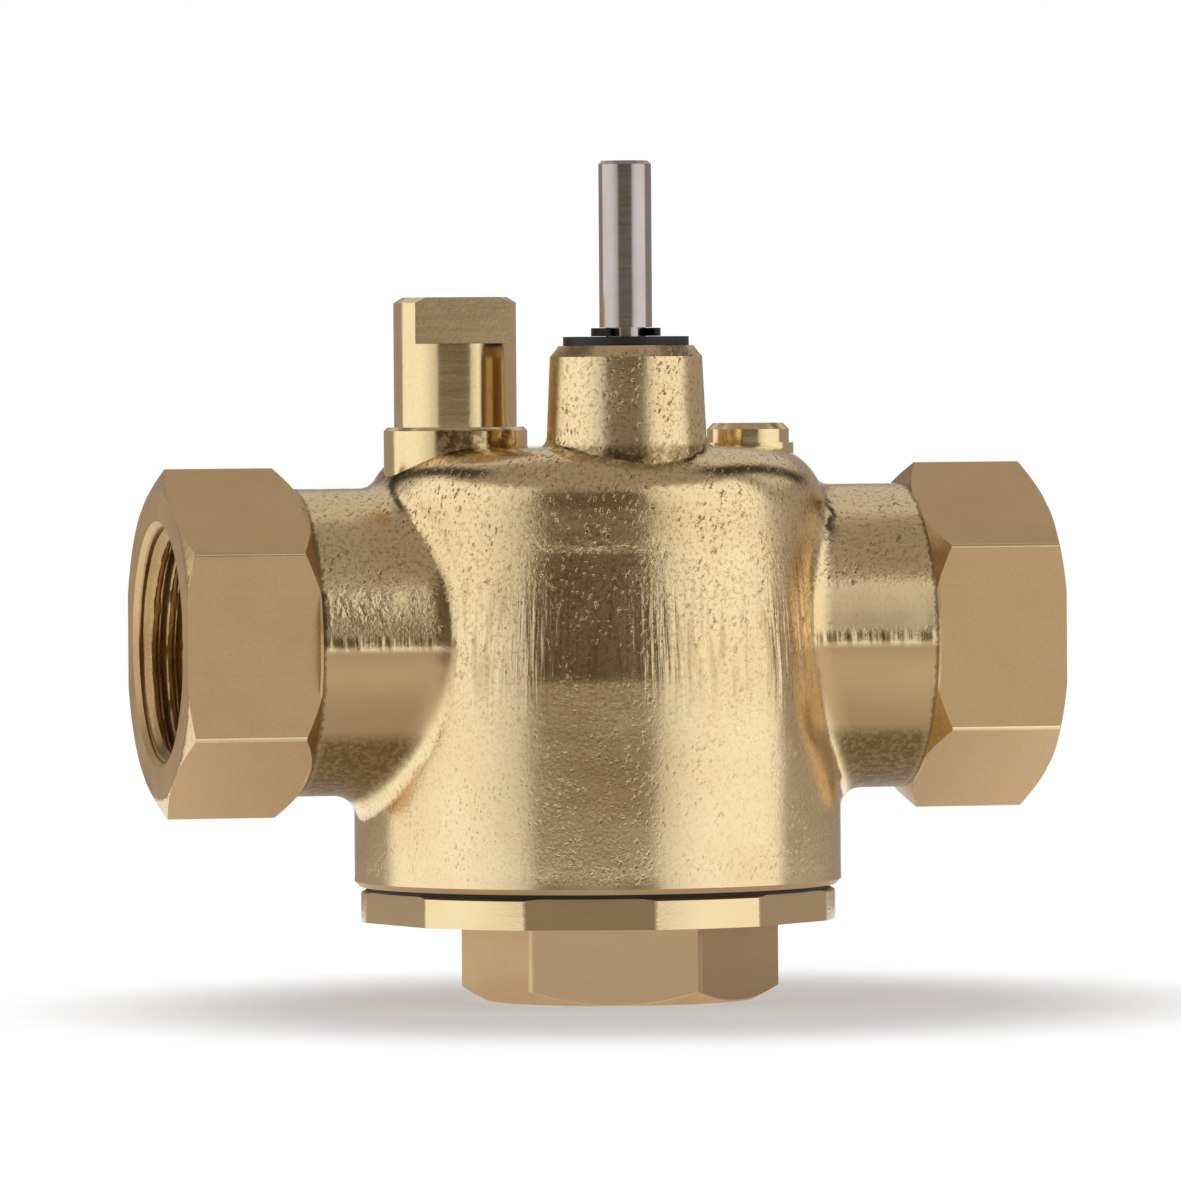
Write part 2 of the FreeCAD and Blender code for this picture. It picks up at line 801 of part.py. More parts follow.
notch_y = dim("ring_notch_distance") * cosine(dim("ring_notch_angle"))
for side in (1, -1):
    draw_circle(sketch, notch_x * side, notch_y, dim("ring_notch_radius"))
extrude(retaining_ring, sketch, dim("ring_thickness"), cut=True, back=True)

# Paddle plate: straight arm with a round end at the plug
paddle_plate = make_body("paddle_plate")
half_height = dim("plate_half_height")
sketch = make_sketch(paddle_plate, "arm", "YZ_Plane", (0, port_height, 0))
plate_tail = stem_y - journal + dim("plate_tail_recess")
draw_box(sketch, plate_tail, plug_y, -half_height, half_height)
extrude(paddle_plate, sketch, dim("plate_thickness"), both=True)
sketch = make_sketch(paddle_plate, "arm_end", "YZ_Plane", (plug_y, port_height, 0))
draw_circle(sketch, 0, 0, half_height)
extrude(paddle_plate, sketch, dim("plate_thickness"), both=True)
rivet_hole = dim("rivet_radius") + dim("press_gap")
sketch = make_sketch(paddle_plate, "arm_holes", "YZ_Plane", (0, port_height, 0))
draw_circle(sketch, plug_y, 0, rivet_hole)
draw_circle(sketch, stem_y, 0, pin_hole)
extrude(paddle_plate, sketch, dim("plate_thickness") * 2, cut=True, both=True)

# Cross pin
paddle_pin = make_body("paddle_pin")
sketch = make_sketch(paddle_pin, "pin_end", "YZ_Plane", (stem_y, port_height, 0))
draw_circle(sketch, 0, 0, dim("pin_radius"))
extrude(paddle_pin, sketch, (journal - dim("pin_recess")) * 2, both=True)


def make_plug(label, side):
    """Rubber dome on one face of the plate, with a recess for the rivet head."""
    ball = doc.addObject("Part::Sphere", label + "_ball")
    bind(ball, "Radius", dim("plug_radius"))
    block = doc.addObject("Part::Box", label + "_block")
    bind(block, "Length", dim("plug_radius") * 2)
    bind(block, "Width", dim("plug_radius") * 4)
    bind(block, "Height", dim("plug_radius") * 4)
    inner_face = dim("plate_thickness") / 2
    shift = inner_face - dim("plug_radius") * 2 if side > 0 else -inner_face
    block.setExpression("Placement.Base.x", shift.text)
    block.setExpression("Placement.Base.y", (-dim("plug_radius") * 2).text)
    block.setExpression("Placement.Base.z", (-dim("plug_radius") * 2).text)
    hole = doc.addObject("Part::Cylinder", label + "_hole")
    bind(hole, "Radius", rivet_hole)
    bind(hole, "Height", dim("plug_radius") * 2)
    recess_hole = doc.addObject("Part::Cylinder", label + "_recess")
    bind(recess_hole, "Radius", dim("rivet_head_radius") + dim("press_gap"))
    bind(recess_hole, "Height", dim("plug_radius"))
    along_x = FreeCAD.Rotation(FreeCAD.Vector(0, 1, 0), 90 * side)
    hole.Placement = FreeCAD.Placement(FreeCAD.Vector(), along_x)
    recess_hole.Placement = FreeCAD.Placement(FreeCAD.Vector(), along_x)
    recess_hole.setExpression("Placement.Base.x", (dim("rivet_head_seat") * side).text)
    tools = doc.addObject("Part::MultiFuse", label + "_tools")
    tools.Shapes = [block, hole, recess_hole]
    dome = doc.addObject("Part::Cut", label)
    dome.Base = ball
    dome.Tool = tools
    dome.Label = label
    dome.setExpression("Placement.Base.y", plug_y.text)
    dome.setExpression("Placement.Base.z", port_height.text)
    return dome


plug_left = make_plug("plug_left", -1)
plug_right = make_plug("plug_right", 1)

# Plug rivet: shank and two heads turned as one profile
plug_rivet = make_body("plug_rivet")
sketch = make_sketch(plug_rivet, "rivet_profile", "XZ_Plane", (0, port_height, -plug_y))
head_in = dim("rivet_head_seat")
head_out = head_in + dim("rivet_head_thickness")
draw_polygon(sketch, [
    (-head_out, 0),
    (-head_out, dim("rivet_head_radius") * 0.8),
    (-head_in, dim("rivet_head_radius")),
    (-head_in, dim("rivet_radius")),
    (head_in, dim("rivet_radius")),
    (head_in, dim("rivet_head_radius")),
    (head_out, dim("rivet_head_radius") * 0.8),
    (head_out, 0),
])
turn(plug_rivet, sketch, "H_Axis")

doc.recompute()

# Check every object and write the pieces
for item in doc.Objects:
    if "Invalid" in item.State or "Error" in item.State:
        raise RuntimeError("not built: " + item.Name + " " + str(item.State))
pieces = [
    valve_body, bottom_cap, cap_gasket, seat_left, seat_right, stem, stem_bush, stem_seal_upper,
    stem_seal_lower, thrust_washer, dust_washer, retaining_ring, paddle_plate, paddle_pin,
    plug_left, plug_right, plug_rivet,
]
os.makedirs("parts", exist_ok=True)
for piece in pieces:
    shape = piece.Shape
    if shape.isNull() or not shape.isValid() or len(shape.Solids) != 1:
        raise RuntimeError("bad shape: " + piece.Label)
    shape.exportStep("parts/" + piece.Label + ".step")
    print(piece.Label, round(shape.Volume, 1))
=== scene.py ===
import math

import bmesh
import bpy
import numpy as np
from mathutils import Matrix, Vector, noise
from mathutils.kdtree import KDTree


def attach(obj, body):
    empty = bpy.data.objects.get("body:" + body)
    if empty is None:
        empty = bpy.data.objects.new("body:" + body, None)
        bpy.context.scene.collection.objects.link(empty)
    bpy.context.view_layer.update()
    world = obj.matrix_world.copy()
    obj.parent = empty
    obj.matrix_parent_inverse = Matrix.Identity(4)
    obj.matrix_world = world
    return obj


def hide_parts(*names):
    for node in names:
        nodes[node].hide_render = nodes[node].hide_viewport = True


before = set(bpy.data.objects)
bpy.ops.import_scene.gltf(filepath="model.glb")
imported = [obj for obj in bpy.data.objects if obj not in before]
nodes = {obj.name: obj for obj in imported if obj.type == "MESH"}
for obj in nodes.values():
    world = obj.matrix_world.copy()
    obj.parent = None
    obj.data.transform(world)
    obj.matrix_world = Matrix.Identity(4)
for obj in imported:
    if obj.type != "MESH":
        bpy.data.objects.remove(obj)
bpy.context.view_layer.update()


def outward(turn):
    """Level direction at an angle from the front of the part."""
    return (math.sin(turn), -math.cos(turn), 0.0)


def sideward(turn):
    """Level direction to the right of the outward one."""
    return (math.cos(turn), math.sin(turn), 0.0)


# Places and sizes of the part, in metres
PORT_Z = 0.0402
PORT_CENTRE = np.array((0.0, PORT_Z))
HALF_LENGTH = 0.05
HEX_START = 0.035
HEX_FLAT = 0.01695
HEX_BACK_SLOPE = 0.875
HEX_FACE_CIRCLE = 0.017
HEX_FACE_SLOPE = -0.4
NECK_ROOT = 0.02
NECK_END = 0.0353
NECK_RADIUS = 0.0171
BARREL_BASE = 0.0128
BARREL_CHAMFER = 0.0006
BARREL_STRAIGHT = 0.0365
BARREL_TOP = 0.0617
BARREL_RADIUS = 0.0272
BARREL_TAPER = 0.0021
SHOULDER_ROUND = 0.007
CHAMBER_RADIUS = 0.0243
ROOF = 0.057
BOSS_TOP = 0.0729
BOSS_BASE_RADIUS = 0.0089
BOSS_TOP_RADIUS = 0.00845
BOSS_CHAMFER_HEIGHT = 0.0012
BOSS_CHAMFER_WIDTH = 0.001
BOSS_BORE = 0.006
COLLAR_TOP = 0.064
COLLAR_RADIUS = 0.008
COLLAR_CHAMFER = 0.0004
POST_TOP = 0.0784
POST_RADIUS = 0.00683
POST_CHAMFER_HEIGHT = 0.0006
POST_CHAMFER_WIDTH = 0.001
POST_FLAT = 0.07325
PAD_TOP = 0.062
PAD_RADIUS = 0.0051
BUTTON_TOP = 0.0642
BUTTON_RADIUS = 0.0046
BUTTON_CHAMFER = 0.0007
BARREL = Vector((0.0, 0.0, 0.0))
STEM = Vector((0.0, -0.0145, 0.0))
POST = Vector((-0.0164, -0.0018, 0.0))
BUTTON = Vector((0.0172, -0.0018, 0.0))

# Bottom cap: its port stands a little off the barrel's axis and is turned
BOTTOM_TURN = math.radians(-16.0)
BOTTOM_OFFSET = 0.0024
BOTTOM_PORT = BOTTOM_OFFSET * Vector(sideward(BOTTOM_TURN))
LOW_FLAT = 0.01525
LOW_FRONT = outward(BOTTOM_TURN)
LOW_SIDE_FLAT = 0.01558
LOW_SIDE = sideward(BOTTOM_TURN - math.radians(29.0))
FLANGE_BASE = 0.0089
FLANGE_RIM = 0.0265

# Pipe threads
THREAD_OUTER = 0.0132
THREAD_DEPTH = 0.00105
THREAD_PITCH = 0.001814
THREAD_MOUTH = 0.0006
SIDE_THREAD_LENGTH = 0.0142
BOTTOM_THREAD_LENGTH = 0.0102
THREAD_CLEARANCE = 0.00002
SLEEVE_CLEARANCE = 0.000005
SIDES_AROUND = 144
ROWS_PER_PITCH = 12
RIDGE_STEEPNESS = 2.6
RIDGE_CUT = 0.15
RUN_IN = 0.6
RUN_OUT = 0.8

# How the facets of the body are matched to surfaces, divided and shaded
NEAR = 0.000004
MARGIN = 0.0001
MOST_SAG = 0.0005
CUT_REACH = 0.02
FACET_LENGTH = 0.001
SHARP_BODY = math.radians(24.0)
SHARP_THREAD = math.radians(50.0)

# Unevenness of the cast skin, and the width over which it fades out
CAST_FADE = 0.0009
WAVE_SCALE = 140.0
WAVE_DEPTH = 0.000022
LUMP_SCALE = 420.0
LUMP_DEPTH = 0.000007
LUMP_SHIFT = Vector((7.0, 3.0, 1.0))

# Radius of the ring about which the barrel's shoulder is turned
TAPER_LENGTH = BARREL_TOP - BARREL_STRAIGHT
TAPER_SIDE = math.hypot(TAPER_LENGTH, BARREL_TAPER)
SHOULDER_RING = BARREL_RADIUS - (
    SHOULDER_ROUND * TAPER_SIDE + (TAPER_LENGTH - SHOULDER_ROUND) * BARREL_TAPER
) / TAPER_LENGTH

# Camera of the photograph
VIEW_TURN = math.radians(-13.98)
VIEW_RISE = math.radians(1.17)
VIEW_ROLL = math.radians(0.41)
VIEW_DISTANCE = 1.248
VIEW_TARGET = Vector((0.0, 0.0, 0.0456))
VIEW_SHIFT = -0.0006
LENS_LENGTH = 340.6
SENSOR_WIDTH = 36.0

# Axes along which places are measured
UP = (0.0, 0.0, 1.0)
ALONG = (1.0, 0.0, 0.0)
ACROSS = (0.0, 1.0, 0.0)
LEVEL = (1.0, 1.0, 0.0)
ROUND_PORT = (0.0, 1.0, 1.0)


def link(tree, source, target):
    tree.links.new(source, target)


def feed(tree, socket, value):
    """Set an input socket from a number, colour or another socket."""
    if isinstance(value, bpy.types.NodeSocket):
        tree.links.new(value, socket)
    else:
        socket.default_value = value


def calc(tree, operation, first, second=None, third=None):
    node = tree.nodes.new("ShaderNodeMath")
    node.operation = operation
    for socket, value in zip(node.inputs, (first, second, third)):
        if value is not None:
            feed(tree, socket, value)
    return node.outputs[0]


def times(tree, *values):
    """Product of several values."""
    product = values[0]
    for value in values[1:]:
        product = calc(tree, "MULTIPLY", product, value)
    return product


def rest_of(tree, value):
    """What is left of one."""
    return calc(tree, "SUBTRACT", 1.0, value)


def dot(tree, vector, direction):
    node = tree.nodes.new("ShaderNodeVectorMath")
    node.operation = "DOT_PRODUCT"
    feed(tree, node.inputs[0], vector)
    node.inputs[1].default_value = direction
    return node.outputs["Value"]


def distance(tree, vector, centre, axes):
    """Distance of a place from a centre, counted only along the chosen axes."""
    offset = tree.nodes.new("ShaderNodeVectorMath")
    offset.operation = "SUBTRACT"
    feed(tree, offset.inputs[0], vector)
    offset.inputs[1].default_value = centre
    chosen = tree.nodes.new("ShaderNodeVectorMath")
    chosen.operation = "MULTIPLY"
    link(tree, offset.outputs["Vector"], chosen.inputs[0])
    chosen.inputs[1].default_value = axes
    length = tree.nodes.new("ShaderNodeVectorMath")
    length.operation = "LENGTH"
    link(tree, chosen.outputs["Vector"], length.inputs[0])
    return length.outputs["Value"]


def ramp(tree, value, low, high, start=0.0, end=1.0):
    """Smooth step from start to end while a value goes from low to high."""
    node = tree.nodes.new("ShaderNodeMapRange")
    node.interpolation_type = "SMOOTHSTEP"
    feed(tree, node.inputs["Value"], value)
    node.inputs["From Min"].default_value = low
    node.inputs["From Max"].default_value = high
    node.inputs["To Min"].default_value = start
    node.inputs["To Max"].default_value = end
    return node.outputs["Result"]


def band(tree, value, low, high, soft):
    """One between low and high, zero outside, with soft edges."""
    rise = ramp(tree, value, low - soft, low + soft)
    fall = ramp(tree, value, high - soft, high + soft, 1.0, 0.0)
    return times(tree, rise, fall)


def blend_colour(tree, factor, first, second):
    node = tree.nodes.new("ShaderNodeMix")
    node.data_type = "RGBA"
    feed(tree, node.inputs["Factor"], factor)
    feed(tree, node.inputs["A"], first)
    feed(tree, node.inputs["B"], second)
    return node.outputs["Result"]


def colour(red, green, blue):
    return (red, green, blue, 1.0)


def place(tree, stretch=(1.0, 1.0, 1.0)):
    """Object coordinates, stretched along each axis."""
    source = tree.nodes.new("ShaderNodeTexCoord")
    mapping = tree.nodes.new("ShaderNodeMapping")
    mapping.inputs["Scale"].default_value = stretch
    link(tree, source.outputs["Object"], mapping.inputs["Vector"])
    return mapping.outputs["Vector"]


def grain(tree, vector, scale, detail=3.0, rough=0.55, warp=0.0):
    node = tree.nodes.new("ShaderNodeTexNoise")
    feed(tree, node.inputs["Vector"], vector)
    node.inputs["Scale"].default_value = scale
    node.inputs["Detail"].default_value = detail
    node.inputs["Roughness"].default_value = rough
    node.inputs["Distortion"].default_value = warp
    return node.outputs["Fac"]


def cells(tree, vector, scale):
    """Distance to the nearest of many scattered points, in cell widths."""
    node = tree.nodes.new("ShaderNodeTexVoronoi")
    feed(tree, node.inputs["Vector"], vector)
    node.inputs["Scale"].default_value = scale
    return node.outputs["Distance"]


def bump(tree, height, depth, under=None):
    node = tree.nodes.new("ShaderNodeBump")
    feed(tree, node.inputs["Height"], height)
    node.inputs["Strength"].default_value = 1.0
    node.inputs["Distance"].default_value = depth
    if under is not None:
        link(tree, under, node.inputs["Normal"])
    return node.outputs["Normal"]


def new_material(name):
    material = bpy.data.materials.new(name)
    material.use_nodes = True
    tree = material.node_tree
    shader = tree.nodes["Principled BSDF"]
    return material, tree, shader


def put(piece, material):
    piece.data.materials.clear()
    piece.data.materials.append(material)


def flatten_shading(piece):
    """Let large flat faces keep their own direction beside small rounds."""
    modifier = piece.modifiers.new("flat_faces", "WEIGHTED_NORMAL")
    modifier.keep_sharp = True
    modifier.weight = 100


# Brass tones
CAST_DARK = colour(0.91, 0.7, 0.4)
CAST_LIGHT = colour(0.96, 0.78, 0.48)
# Painted shade on the smooth lower half of the necks
LOW_NECK_SHADE_TONE = colour(0.58, 0.395, 0.205)
MARK_TONE = colour(0.3, 0.19, 0.08)
# Painted shade under the necks, where they meet the hexes, and in the creases
PAINTED_SHADE_TONE = colour(0.2, 0.13, 0.045)
SPECK_TONE = colour(0.38, 0.24, 0.09)
HOLLOW_TONE = colour(0.16, 0.095, 0.035)
SATIN_DARK = colour(0.69, 0.475, 0.25)
SATIN_LIGHT = colour(0.74, 0.52, 0.28)
CAP_DARK = colour(0.78, 0.55, 0.3)
CAP_LIGHT = colour(0.85, 0.62, 0.35)
# Painted light and painted shade on two flats of the bottom hex
CAP_PAINTED_LIGHT = colour(0.98, 0.75, 0.45)
CAP_PAINTED_SHADE = colour(0.5, 0.34, 0.19)
FLANGE_TONE = colour(0.52, 0.37, 0.2)
BRIGHT_DARK = colour(0.91, 0.71, 0.4)
BRIGHT_LIGHT = colour(0.95, 0.78, 0.47)
# Painted dark reflection on the post, and dark blotches on the collar
REFLECTION_AND_BLOTCH_TONE = colour(0.28, 0.18, 0.07)
THREAD_DARK = colour(0.42, 0.27, 0.12)
THREAD_LIGHT = colour(0.56, 0.38, 0.18)

# Sizes of the textures, in features per metre
CLOUD_SCALE = 90.0
MOTTLE_SCALE = 130.0
SMUDGE_SCALE = 220.0
PATCH_SCALE = 230.0
MOULD_PATCH_SCALE = 240.0
RING_SCALE = 260.0
DENT_SCALE = 560.0
FOLD_SCALE = 760.0
BLOTCH_SCALE = 800.0
LINE_SCALE = 900.0
STREAK_SCALE = 1150.0
PIT_SCALE = 1500.0
RAGGED_SCALE = 1500.0
MOULD_SCALE = 1800.0
SPECK_SCALE = 2100.0
FINE_SCALE = 2600.0
GRAIN_SCALE = 2700.0

# Depths of the relief, in metres
FOLD_DEPTH = 0.00012
STREAK_DEPTH = 0.0001
GRAIN_DEPTH = 0.000032
MOULD_DEPTH = 0.00002
CUT_DEPTH = 0.000012
SATIN_DEPTH = 0.00001
TURNED_DEPTH = 0.000006
BRIGHT_DEPTH = 0.000003

# Stretch of the tool lines: along the ports, round the ports, level, upright, and fine rings
CUT_ALONG = (0.08, 1.0, 1.0)
CUT_ROUND = (1.0, 0.05, 0.05)
CUT_LEVEL = (0.05, 0.05, 1.0)
CUT_UPRIGHT = (1.0, 1.0, 0.04)
CUT_RINGS = (1.0, 1.0, 14.0)

# Heights between which the cast skin bears its marks and its painted shade
SMOOTH_SHADED_EDGE = (PORT_Z - 0.001, PORT_Z - 0.0002)
SHADED_STRIP_EDGE = (PORT_Z - 0.0112, PORT_Z - 0.0092)
CALM_PATCH = (PORT_Z + 0.0012, PORT_Z + 0.006)
NECK_PITS = (PORT_Z + 0.001, PORT_Z + 0.008)
BARREL_PITS = (0.036, 0.054)
DENTED = (0.03, 0.05)
SPECKLED = (0.022, 0.05)
PARTING_LINE = (0.0396, 0.041)
BARREL_BRUSH = (0.0345, 0.0465)
COARSE_BAND = (0.042, 0.0535)
NECK_FOLDS = (0.0428, 0.0466)
FRONT_FOLDS = (0.0506, 0.0522)
TOP_BAND = (0.0505, 0.0555)

# Painted dark reflection down the front of the post, and dark blotches on the front of its collar, across
# from the post's axis
POST_FRONT_TURN = math.radians(-14.0)
POST_FRONT = outward(POST_FRONT_TURN)
POST_ASIDE = sideward(POST_FRONT_TURN)
POST_REFLECTION_STRIPE = (0.0029, 0.0053)
COLLAR_BLOTCH = (-0.0021, 0.0062)


def uneven_place(tree, plain):
    """Object coordinates shaken a little, so that cells lose their round outline."""
    shaken = tree.nodes.new("ShaderNodeVectorMath")
    shaken.operation = "MULTIPLY_ADD"
    link(tree, grain(tree, plain, FINE_SCALE, 2.0), shaken.inputs[0])
    shaken.inputs[1].default_value = (0.0011, 0.0009, 0.0012)
    link(tree, place(tree, (1.0, 1.0, 0.75)), shaken.inputs[2])
    return shaken.outputs["Vector"]


# Cast brass skin: grain, pits and dents, painted shade under the necks and in the creases, brush marks on
# the barrel, a parting line on the necks
def make_cast_brass():
    material, tree, shader = new_material("cast_brass")
    attribute = tree.nodes.new("ShaderNodeAttribute")
    attribute.attribute_name = "cast"
    fade = attribute.outputs["Fac"]
    plain = place(tree)
    level = dot(tree, plain, UP)
    along = dot(tree, plain, ALONG)
    across = dot(tree, plain, ACROSS)
    outwards = calc(tree, "ABSOLUTE", along)
    from_port = distance(tree, plain, (0.0, 0.0, PORT_Z), ROUND_PORT)
    near_port = ramp(tree, from_port, NECK_RADIUS + 0.0002, NECK_RADIUS + 0.0012, 1.0, 0.0)
    on_neck = times(tree, near_port, ramp(tree, outwards, NECK_ROOT - 0.001, NECK_ROOT + 0.001))
    on_barrel = rest_of(tree, on_neck)
    cloud = grain(tree, plain, CLOUD_SCALE, 4.0)
    # Noise that breaks up the edges of the painted shade
    ragged_noise = grain(tree, plain, RAGGED_SCALE, 4.0, 0.7)
    patchy = ramp(tree, grain(tree, plain, PATCH_SCALE), 0.4, 0.62)
    uneven = uneven_place(tree, plain)

    # Lower half of the necks is smooth, and painted darker as shade
    smooth_and_shaded = times(tree, on_neck, ramp(tree, level, *SMOOTH_SHADED_EDGE, 1.0, 0.0))

    # A calm bright patch above the parting line of one neck
    calm = times(tree, band(tree, level, *CALM_PATCH, 0.0006), on_neck, ramp(tree, along, 0.0, 0.01))
    busy = rest_of(tree, times(tree, calm, 0.85))

    # Pits lie thick on the upper half and thin out below
    barrel_share = times(tree, ramp(tree, level, *BARREL_PITS, 0.45, 1.0), on_barrel)
    neck_share = times(tree, ramp(tree, level, *NECK_PITS), on_neck)
    share = times(tree, calc(tree, "ADD", barrel_share, neck_share), patchy, busy)
    pits = times(tree, ramp(tree, cells(tree, uneven, PIT_SCALE), 0.1, 0.34, 1.0, 0.0), share, fade)

    # Dents are larger and fewer
    dents = ramp(tree, cells(tree, uneven, DENT_SCALE), 0.07, 0.19, 1.0, 0.0)
    dents = times(tree, dents, ramp(tree, level, *DENTED, 0.3, 1.0))
    dents = times(tree, dents, calc(tree, "MULTIPLY_ADD", patchy, 0.6, 0.4))
    dents = times(tree, dents, calc(tree, "SUBTRACT", busy, smooth_and_shaded), fade)

    # Brown specks
    specks = ramp(tree, grain(tree, plain, SPECK_SCALE, 4.0, 0.7), 0.48, 0.66)
    rusty = calc(tree, "SUBTRACT", ramp(tree, level, *SPECKLED, 0.35, 1.0), smooth_and_shaded)
    specks = times(tree, specks, calc(tree, "MAXIMUM", rusty, 0.0), busy, fade)

    # Rough strip beneath the smooth half of the necks, painted dark as shade
    shaded_rough_strip = times(tree, on_neck, ramp(tree, level, *SHADED_STRIP_EDGE, 1.0, 0.0))
    shaded_rough_strip = times(tree, shaded_rough_strip, ramp(tree, ragged_noise, 0.36, 0.56, 0.55, 1.0), fade)

    # Ragged painted shade where the necks meet the hexes
    ragged = calc(tree, "MULTIPLY_ADD", ragged_noise, 0.0012, outwards)
    joint = times(tree, ramp(tree, ragged, HEX_START + 0.0001, HEX_START + 0.0004), on_neck)

    # Painted shade in the creases round the collar and the boss
    from_post = distance(tree, plain, POST, LEVEL)
    collar_crease = ramp(tree, from_post, COLLAR_RADIUS, COLLAR_RADIUS + 0.0016, 1.0, 0.0)
    from_stem = distance(tree, plain, STEM, LEVEL)
    boss_crease = ramp(tree, from_stem, BOSS_BASE_RADIUS, BOSS_BASE_RADIUS + 0.0011, 0.8, 0.0)
    boss_foot = ramp(tree, level, BARREL_TOP - 0.0002, BARREL_TOP + 0.0006, 1.0, 0.0)
    crease_shade = calc(tree, "MAXIMUM", collar_crease, times(tree, boss_crease, boss_foot))
    crease_shade = times(tree, crease_shade, ramp(tree, ragged_noise, 0.36, 0.56, 0.4, 1.0))

    # Upright brush marks on the barrel and across the parting line of the necks
    streaks = grain(tree, place(tree, CUT_UPRIGHT), STREAK_SCALE, 2.0, 0.5)
    barrel_marks = times(tree, band(tree, level, *BARREL_BRUSH, 0.004), on_barrel)
    neck_marks = times(tree, band(tree, level, *PARTING_LINE, 0.0006), on_neck)
    brushed = times(tree, calc(tree, "ADD", barrel_marks, neck_marks), fade)
    marks = calc(tree, "MULTIPLY_ADD", neck_marks, 0.9, times(tree, barrel_marks, 0.3))
    marks = times(tree, marks, fade, ramp(tree, streaks, 0.46, 0.62))

    # Colour, from the clean casting to the hollows
    tone = blend_colour(tree, ramp(tree, cloud, 0.3, 0.7), CAST_DARK, CAST_LIGHT)
    # Painted shade: the smooth lower half of the necks darker
    tone = blend_colour(tree, smooth_and_shaded, tone, LOW_NECK_SHADE_TONE)
    tone = blend_colour(tree, marks, tone, MARK_TONE)
    # Painted shade under the necks, where they meet the hexes, and in the creases
    painted_shade = calc(tree, "MAXIMUM", times(tree, shaded_rough_strip, 0.9), times(tree, joint, 0.8))
    tone = blend_colour(tree, calc(tree, "MAXIMUM", painted_shade, crease_shade), tone, PAINTED_SHADE_TONE)
    tone = blend_colour(tree, times(tree, specks, 0.55), tone, SPECK_TONE)
    hollow = calc(tree, "MAXIMUM", times(tree, pits, 0.85), times(tree, dents, 0.75))
    tone = blend_colour(tree, hollow, tone, HOLLOW_TONE)
    link(tree, tone, shader.inputs["Base Color"])
    shader.inputs["Metallic"].default_value = 1.0

    # Gloss, duller on the smooth halves, near the top of the barrel, on the boss and on the calm patch
    gloss = ramp(tree, cloud, 0.25, 0.75, 0.15, 0.21)
    top = times(tree, band(tree, level, *TOP_BAND, 0.0012), on_barrel)
    top = calc(tree, "ADD", top, ramp(tree, level, BARREL_TOP, BARREL_TOP + 0.001, 0.0, 0.8))
    dull = calc(tree, "MULTIPLY_ADD", smooth_and_shaded, 0.22, times(tree, top, 0.09))
    dull = calc(tree, "MULTIPLY_ADD", calm, 0.06, dull)
    link(tree, calc(tree, "ADD", gloss, dull), shader.inputs["Roughness"])

    # Relief: grain, pits and dents, brush marks, folds on one neck and on the front of the barrel
    even = times(tree, fade, calc(tree, "SUBTRACT", busy, times(tree, smooth_and_shaded, 0.8)))
    coarse = calc(tree, "MULTIPLY_ADD", band(tree, level, *COARSE_BAND, 0.003), 0.6, 0.35)
    speckle = times(tree, grain(tree, plain, GRAIN_SCALE, 3.0, 0.6), even, coarse)
    relief = calc(tree, "SUBTRACT", speckle, calc(tree, "ADD", pits, dents))
    normal = bump(tree, relief, GRAIN_DEPTH)
    normal = bump(tree, times(tree, streaks, brushed), STREAK_DEPTH, normal)
    one_neck = ramp(tree, along, -0.028, -0.025, 1.0, 0.0)
    neck_folds = times(tree, band(tree, level, *NECK_FOLDS, 0.0012), one_neck)
    front = times(tree, on_barrel, ramp(tree, across, -0.01, -0.005, 1.0, 0.0))
    front = times(tree, front, band(tree, along, -0.0125, 0.001, 0.002))
    front_folds = times(tree, band(tree, level, *FRONT_FOLDS, 0.0006), front)
    crumpled = calc(tree, "ADD", calc(tree, "ADD", neck_folds, front_folds), shaded_rough_strip)
    folds = grain(tree, plain, FOLD_SCALE, 2.0, 0.5, 0.6)
    normal = bump(tree, times(tree, folds, crumpled, fade), FOLD_DEPTH, normal)
    link(tree, normal, shader.inputs["Normal"])
    return material


def metal_grain(tree, plain, stretch):
    """Slow mottle, fine grain and tool lines of cut metal."""
    mottle = grain(tree, plain, MOTTLE_SCALE, 4.0, 0.6)
    fine = grain(tree, plain, FINE_SCALE, 2.0, 0.6)
    lines = grain(tree, place(tree, stretch), LINE_SCALE, 2.0, 0.6)
    return mottle, fine, lines


# Machined brass: satin or bright, with tool lines stretched along the cut
def make_machined_brass(name, dark, light, rough, stretch, depth, cut=CUT_DEPTH):
    material, tree, shader = new_material(name)
    mottle, fine, lines = metal_grain(tree, place(tree), stretch)
    tint = calc(tree, "ADD", times(tree, mottle, 0.5), times(tree, fine, 0.5))
    link(tree, blend_colour(tree, ramp(tree, tint, 0.35, 0.65), dark, light), shader.inputs["Base Color"])
    shader.inputs["Metallic"].default_value = 1.0
    link(tree, ramp(tree, mottle, 0.25, 0.75, rough * 0.88, rough * 1.12), shader.inputs["Roughness"])
    normal = bump(tree, lines, cut, bump(tree, fine, depth))
    link(tree, normal, shader.inputs["Normal"])
    return material


